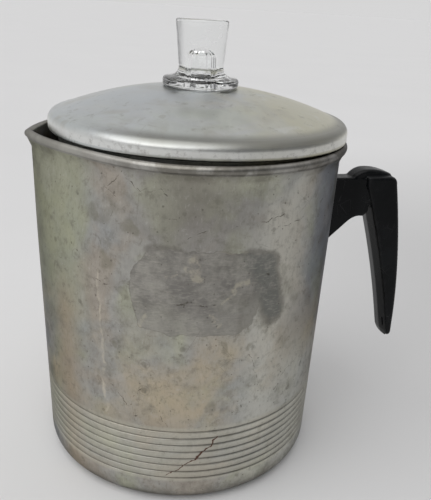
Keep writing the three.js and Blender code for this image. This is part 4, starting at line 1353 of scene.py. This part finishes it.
cover_low, cover_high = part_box("basket_cover")
cover_sheet = 0.8 * mm
cover_rim = cover_high.y - cover_sheet / 2
cover_seat = basket_high.z + 0.3 * mm + cover_sheet / 2
cover_dish = cover_seat - 3 * mm
cover_collar = sleeve_radius + 0.6 * mm + cover_sheet / 2
cover_path = [(cover_collar, cover_high.z, 0), (cover_collar, cover_dish, 0.8 * mm)]
cover_path += [(52.5 * mm, cover_dish, 1.5 * mm), (55.6 * mm, cover_seat, 1.5 * mm)]
cover_path += [(cover_rim, cover_seat, 0.8 * mm), (cover_rim, cover_low.z, 0)]
cover = turned("water_spreader", sheet(cover_path, cover_sheet), sides=144)
cover_rings = [(16.2 * mm, 8), (30.25 * mm, 14), (44.3 * mm, 20)]
cover_hole_radius = 1.5 * mm
drilled(cover, cover_rings, cover_hole_radius, cover_dish - 2 * mm, cover_dish + 2 * mm)
fitted(cover, "basket_cover", "cover", pump_metal)


# ---------------------------------------------------------------- floor, light and camera
# The pot stands on a pale matt surface under broad soft light from above and the left.

floor_mesh = bmesh.new()
floor_radius = 80
bmesh.ops.create_circle(floor_mesh, cap_ends=True, segments=96, radius=floor_radius)
floor = piece_from("pale_floor", floor_mesh)
if floor.data.polygons[0].normal.z < 0:
    floor.data.flip_normals()


def floor_material():
    material, tree, shader = new_material("pale_matt_floor", Roughness=0.75)
    patchy = noise(tree, position(tree), 3, detail=4)
    colour = mix(tree, patchy, (0.67, 0.67, 0.672, 1), (0.71, 0.71, 0.71, 1))
    across, away, _ = add(tree, "SeparateXYZ", {0: position(tree)}).outputs
    # painted shade: the floor is painted darker to the right of the pot, fading out far behind it
    painted_shade_right = times(tree, step(tree, across, 0.0, 0.4), step(tree, away, 0.9, 0.1))
    colour = tinted(tree, painted_shade_right, 0.85, (0.5, 0.5, 0.5), colour)
    fill(tree, shader.inputs["Base Color"], colour)
    return material


floor.data.materials.append(floor_material())

daylight = bpy.data.lights.new("window_daylight", "SUN")
daylight.angle = math.radians(75)
daylight.energy = 1.66
window = bpy.data.objects.new("window_daylight", daylight)
daylight_direction = Vector((0.62, 0.5, -1.1))
window.rotation_euler = daylight_direction.to_track_quat("-Z", "Y").to_euler()
bpy.context.scene.collection.objects.link(window)

world = bpy.data.worlds.new("soft_room")
bpy.context.scene.world = world
world.use_nodes = True
sky = world.node_tree
toward = add(sky, "TexCoord").outputs["Generated"]
bright_side = vector_calc(sky, "DOT_PRODUCT", toward, Vector((-0.3, 0.6, 0.75)).normalized()[:])
room = mix(sky, step(sky, bright_side, -0.35, 0.6), (0.13, 0.132, 0.138, 1), (0.65, 0.645, 0.648, 1))
_, away, up = add(sky, "SeparateXYZ", {0: toward}).outputs
far_wall = times(sky, step(sky, up, 0.4, 0.06), step(sky, away, 0.1, 0.7))
room = mix(sky, far_wall, room, (0.67, 0.668, 0.67, 1))
fill(sky, sky.nodes["Background"].inputs["Color"], room)

camera_place = (-0.0834, -0.3284, 0.2507)
camera_heading = 17.78
camera_pitch = 26.84
camera_roll = 3.44
eye = bpy.data.cameras.new("camera")
eye.sensor_width = 36
eye.lens = 43.65
eye.shift_y = 0.125
eye.clip_start = 0.01
camera = bpy.data.objects.new("camera", eye)
camera.matrix_world = (
    Matrix.Translation(camera_place)
    @ Matrix.Rotation(math.radians(-camera_heading), 4, "Z")
    @ Matrix.Rotation(math.radians(90 - camera_pitch), 4, "X")
    @ Matrix.Rotation(math.radians(camera_roll), 4, "Z")
)
bpy.context.scene.collection.objects.link(camera)
bpy.context.scene.camera = camera
bpy.context.scene.view_settings.view_transform = "Standard"
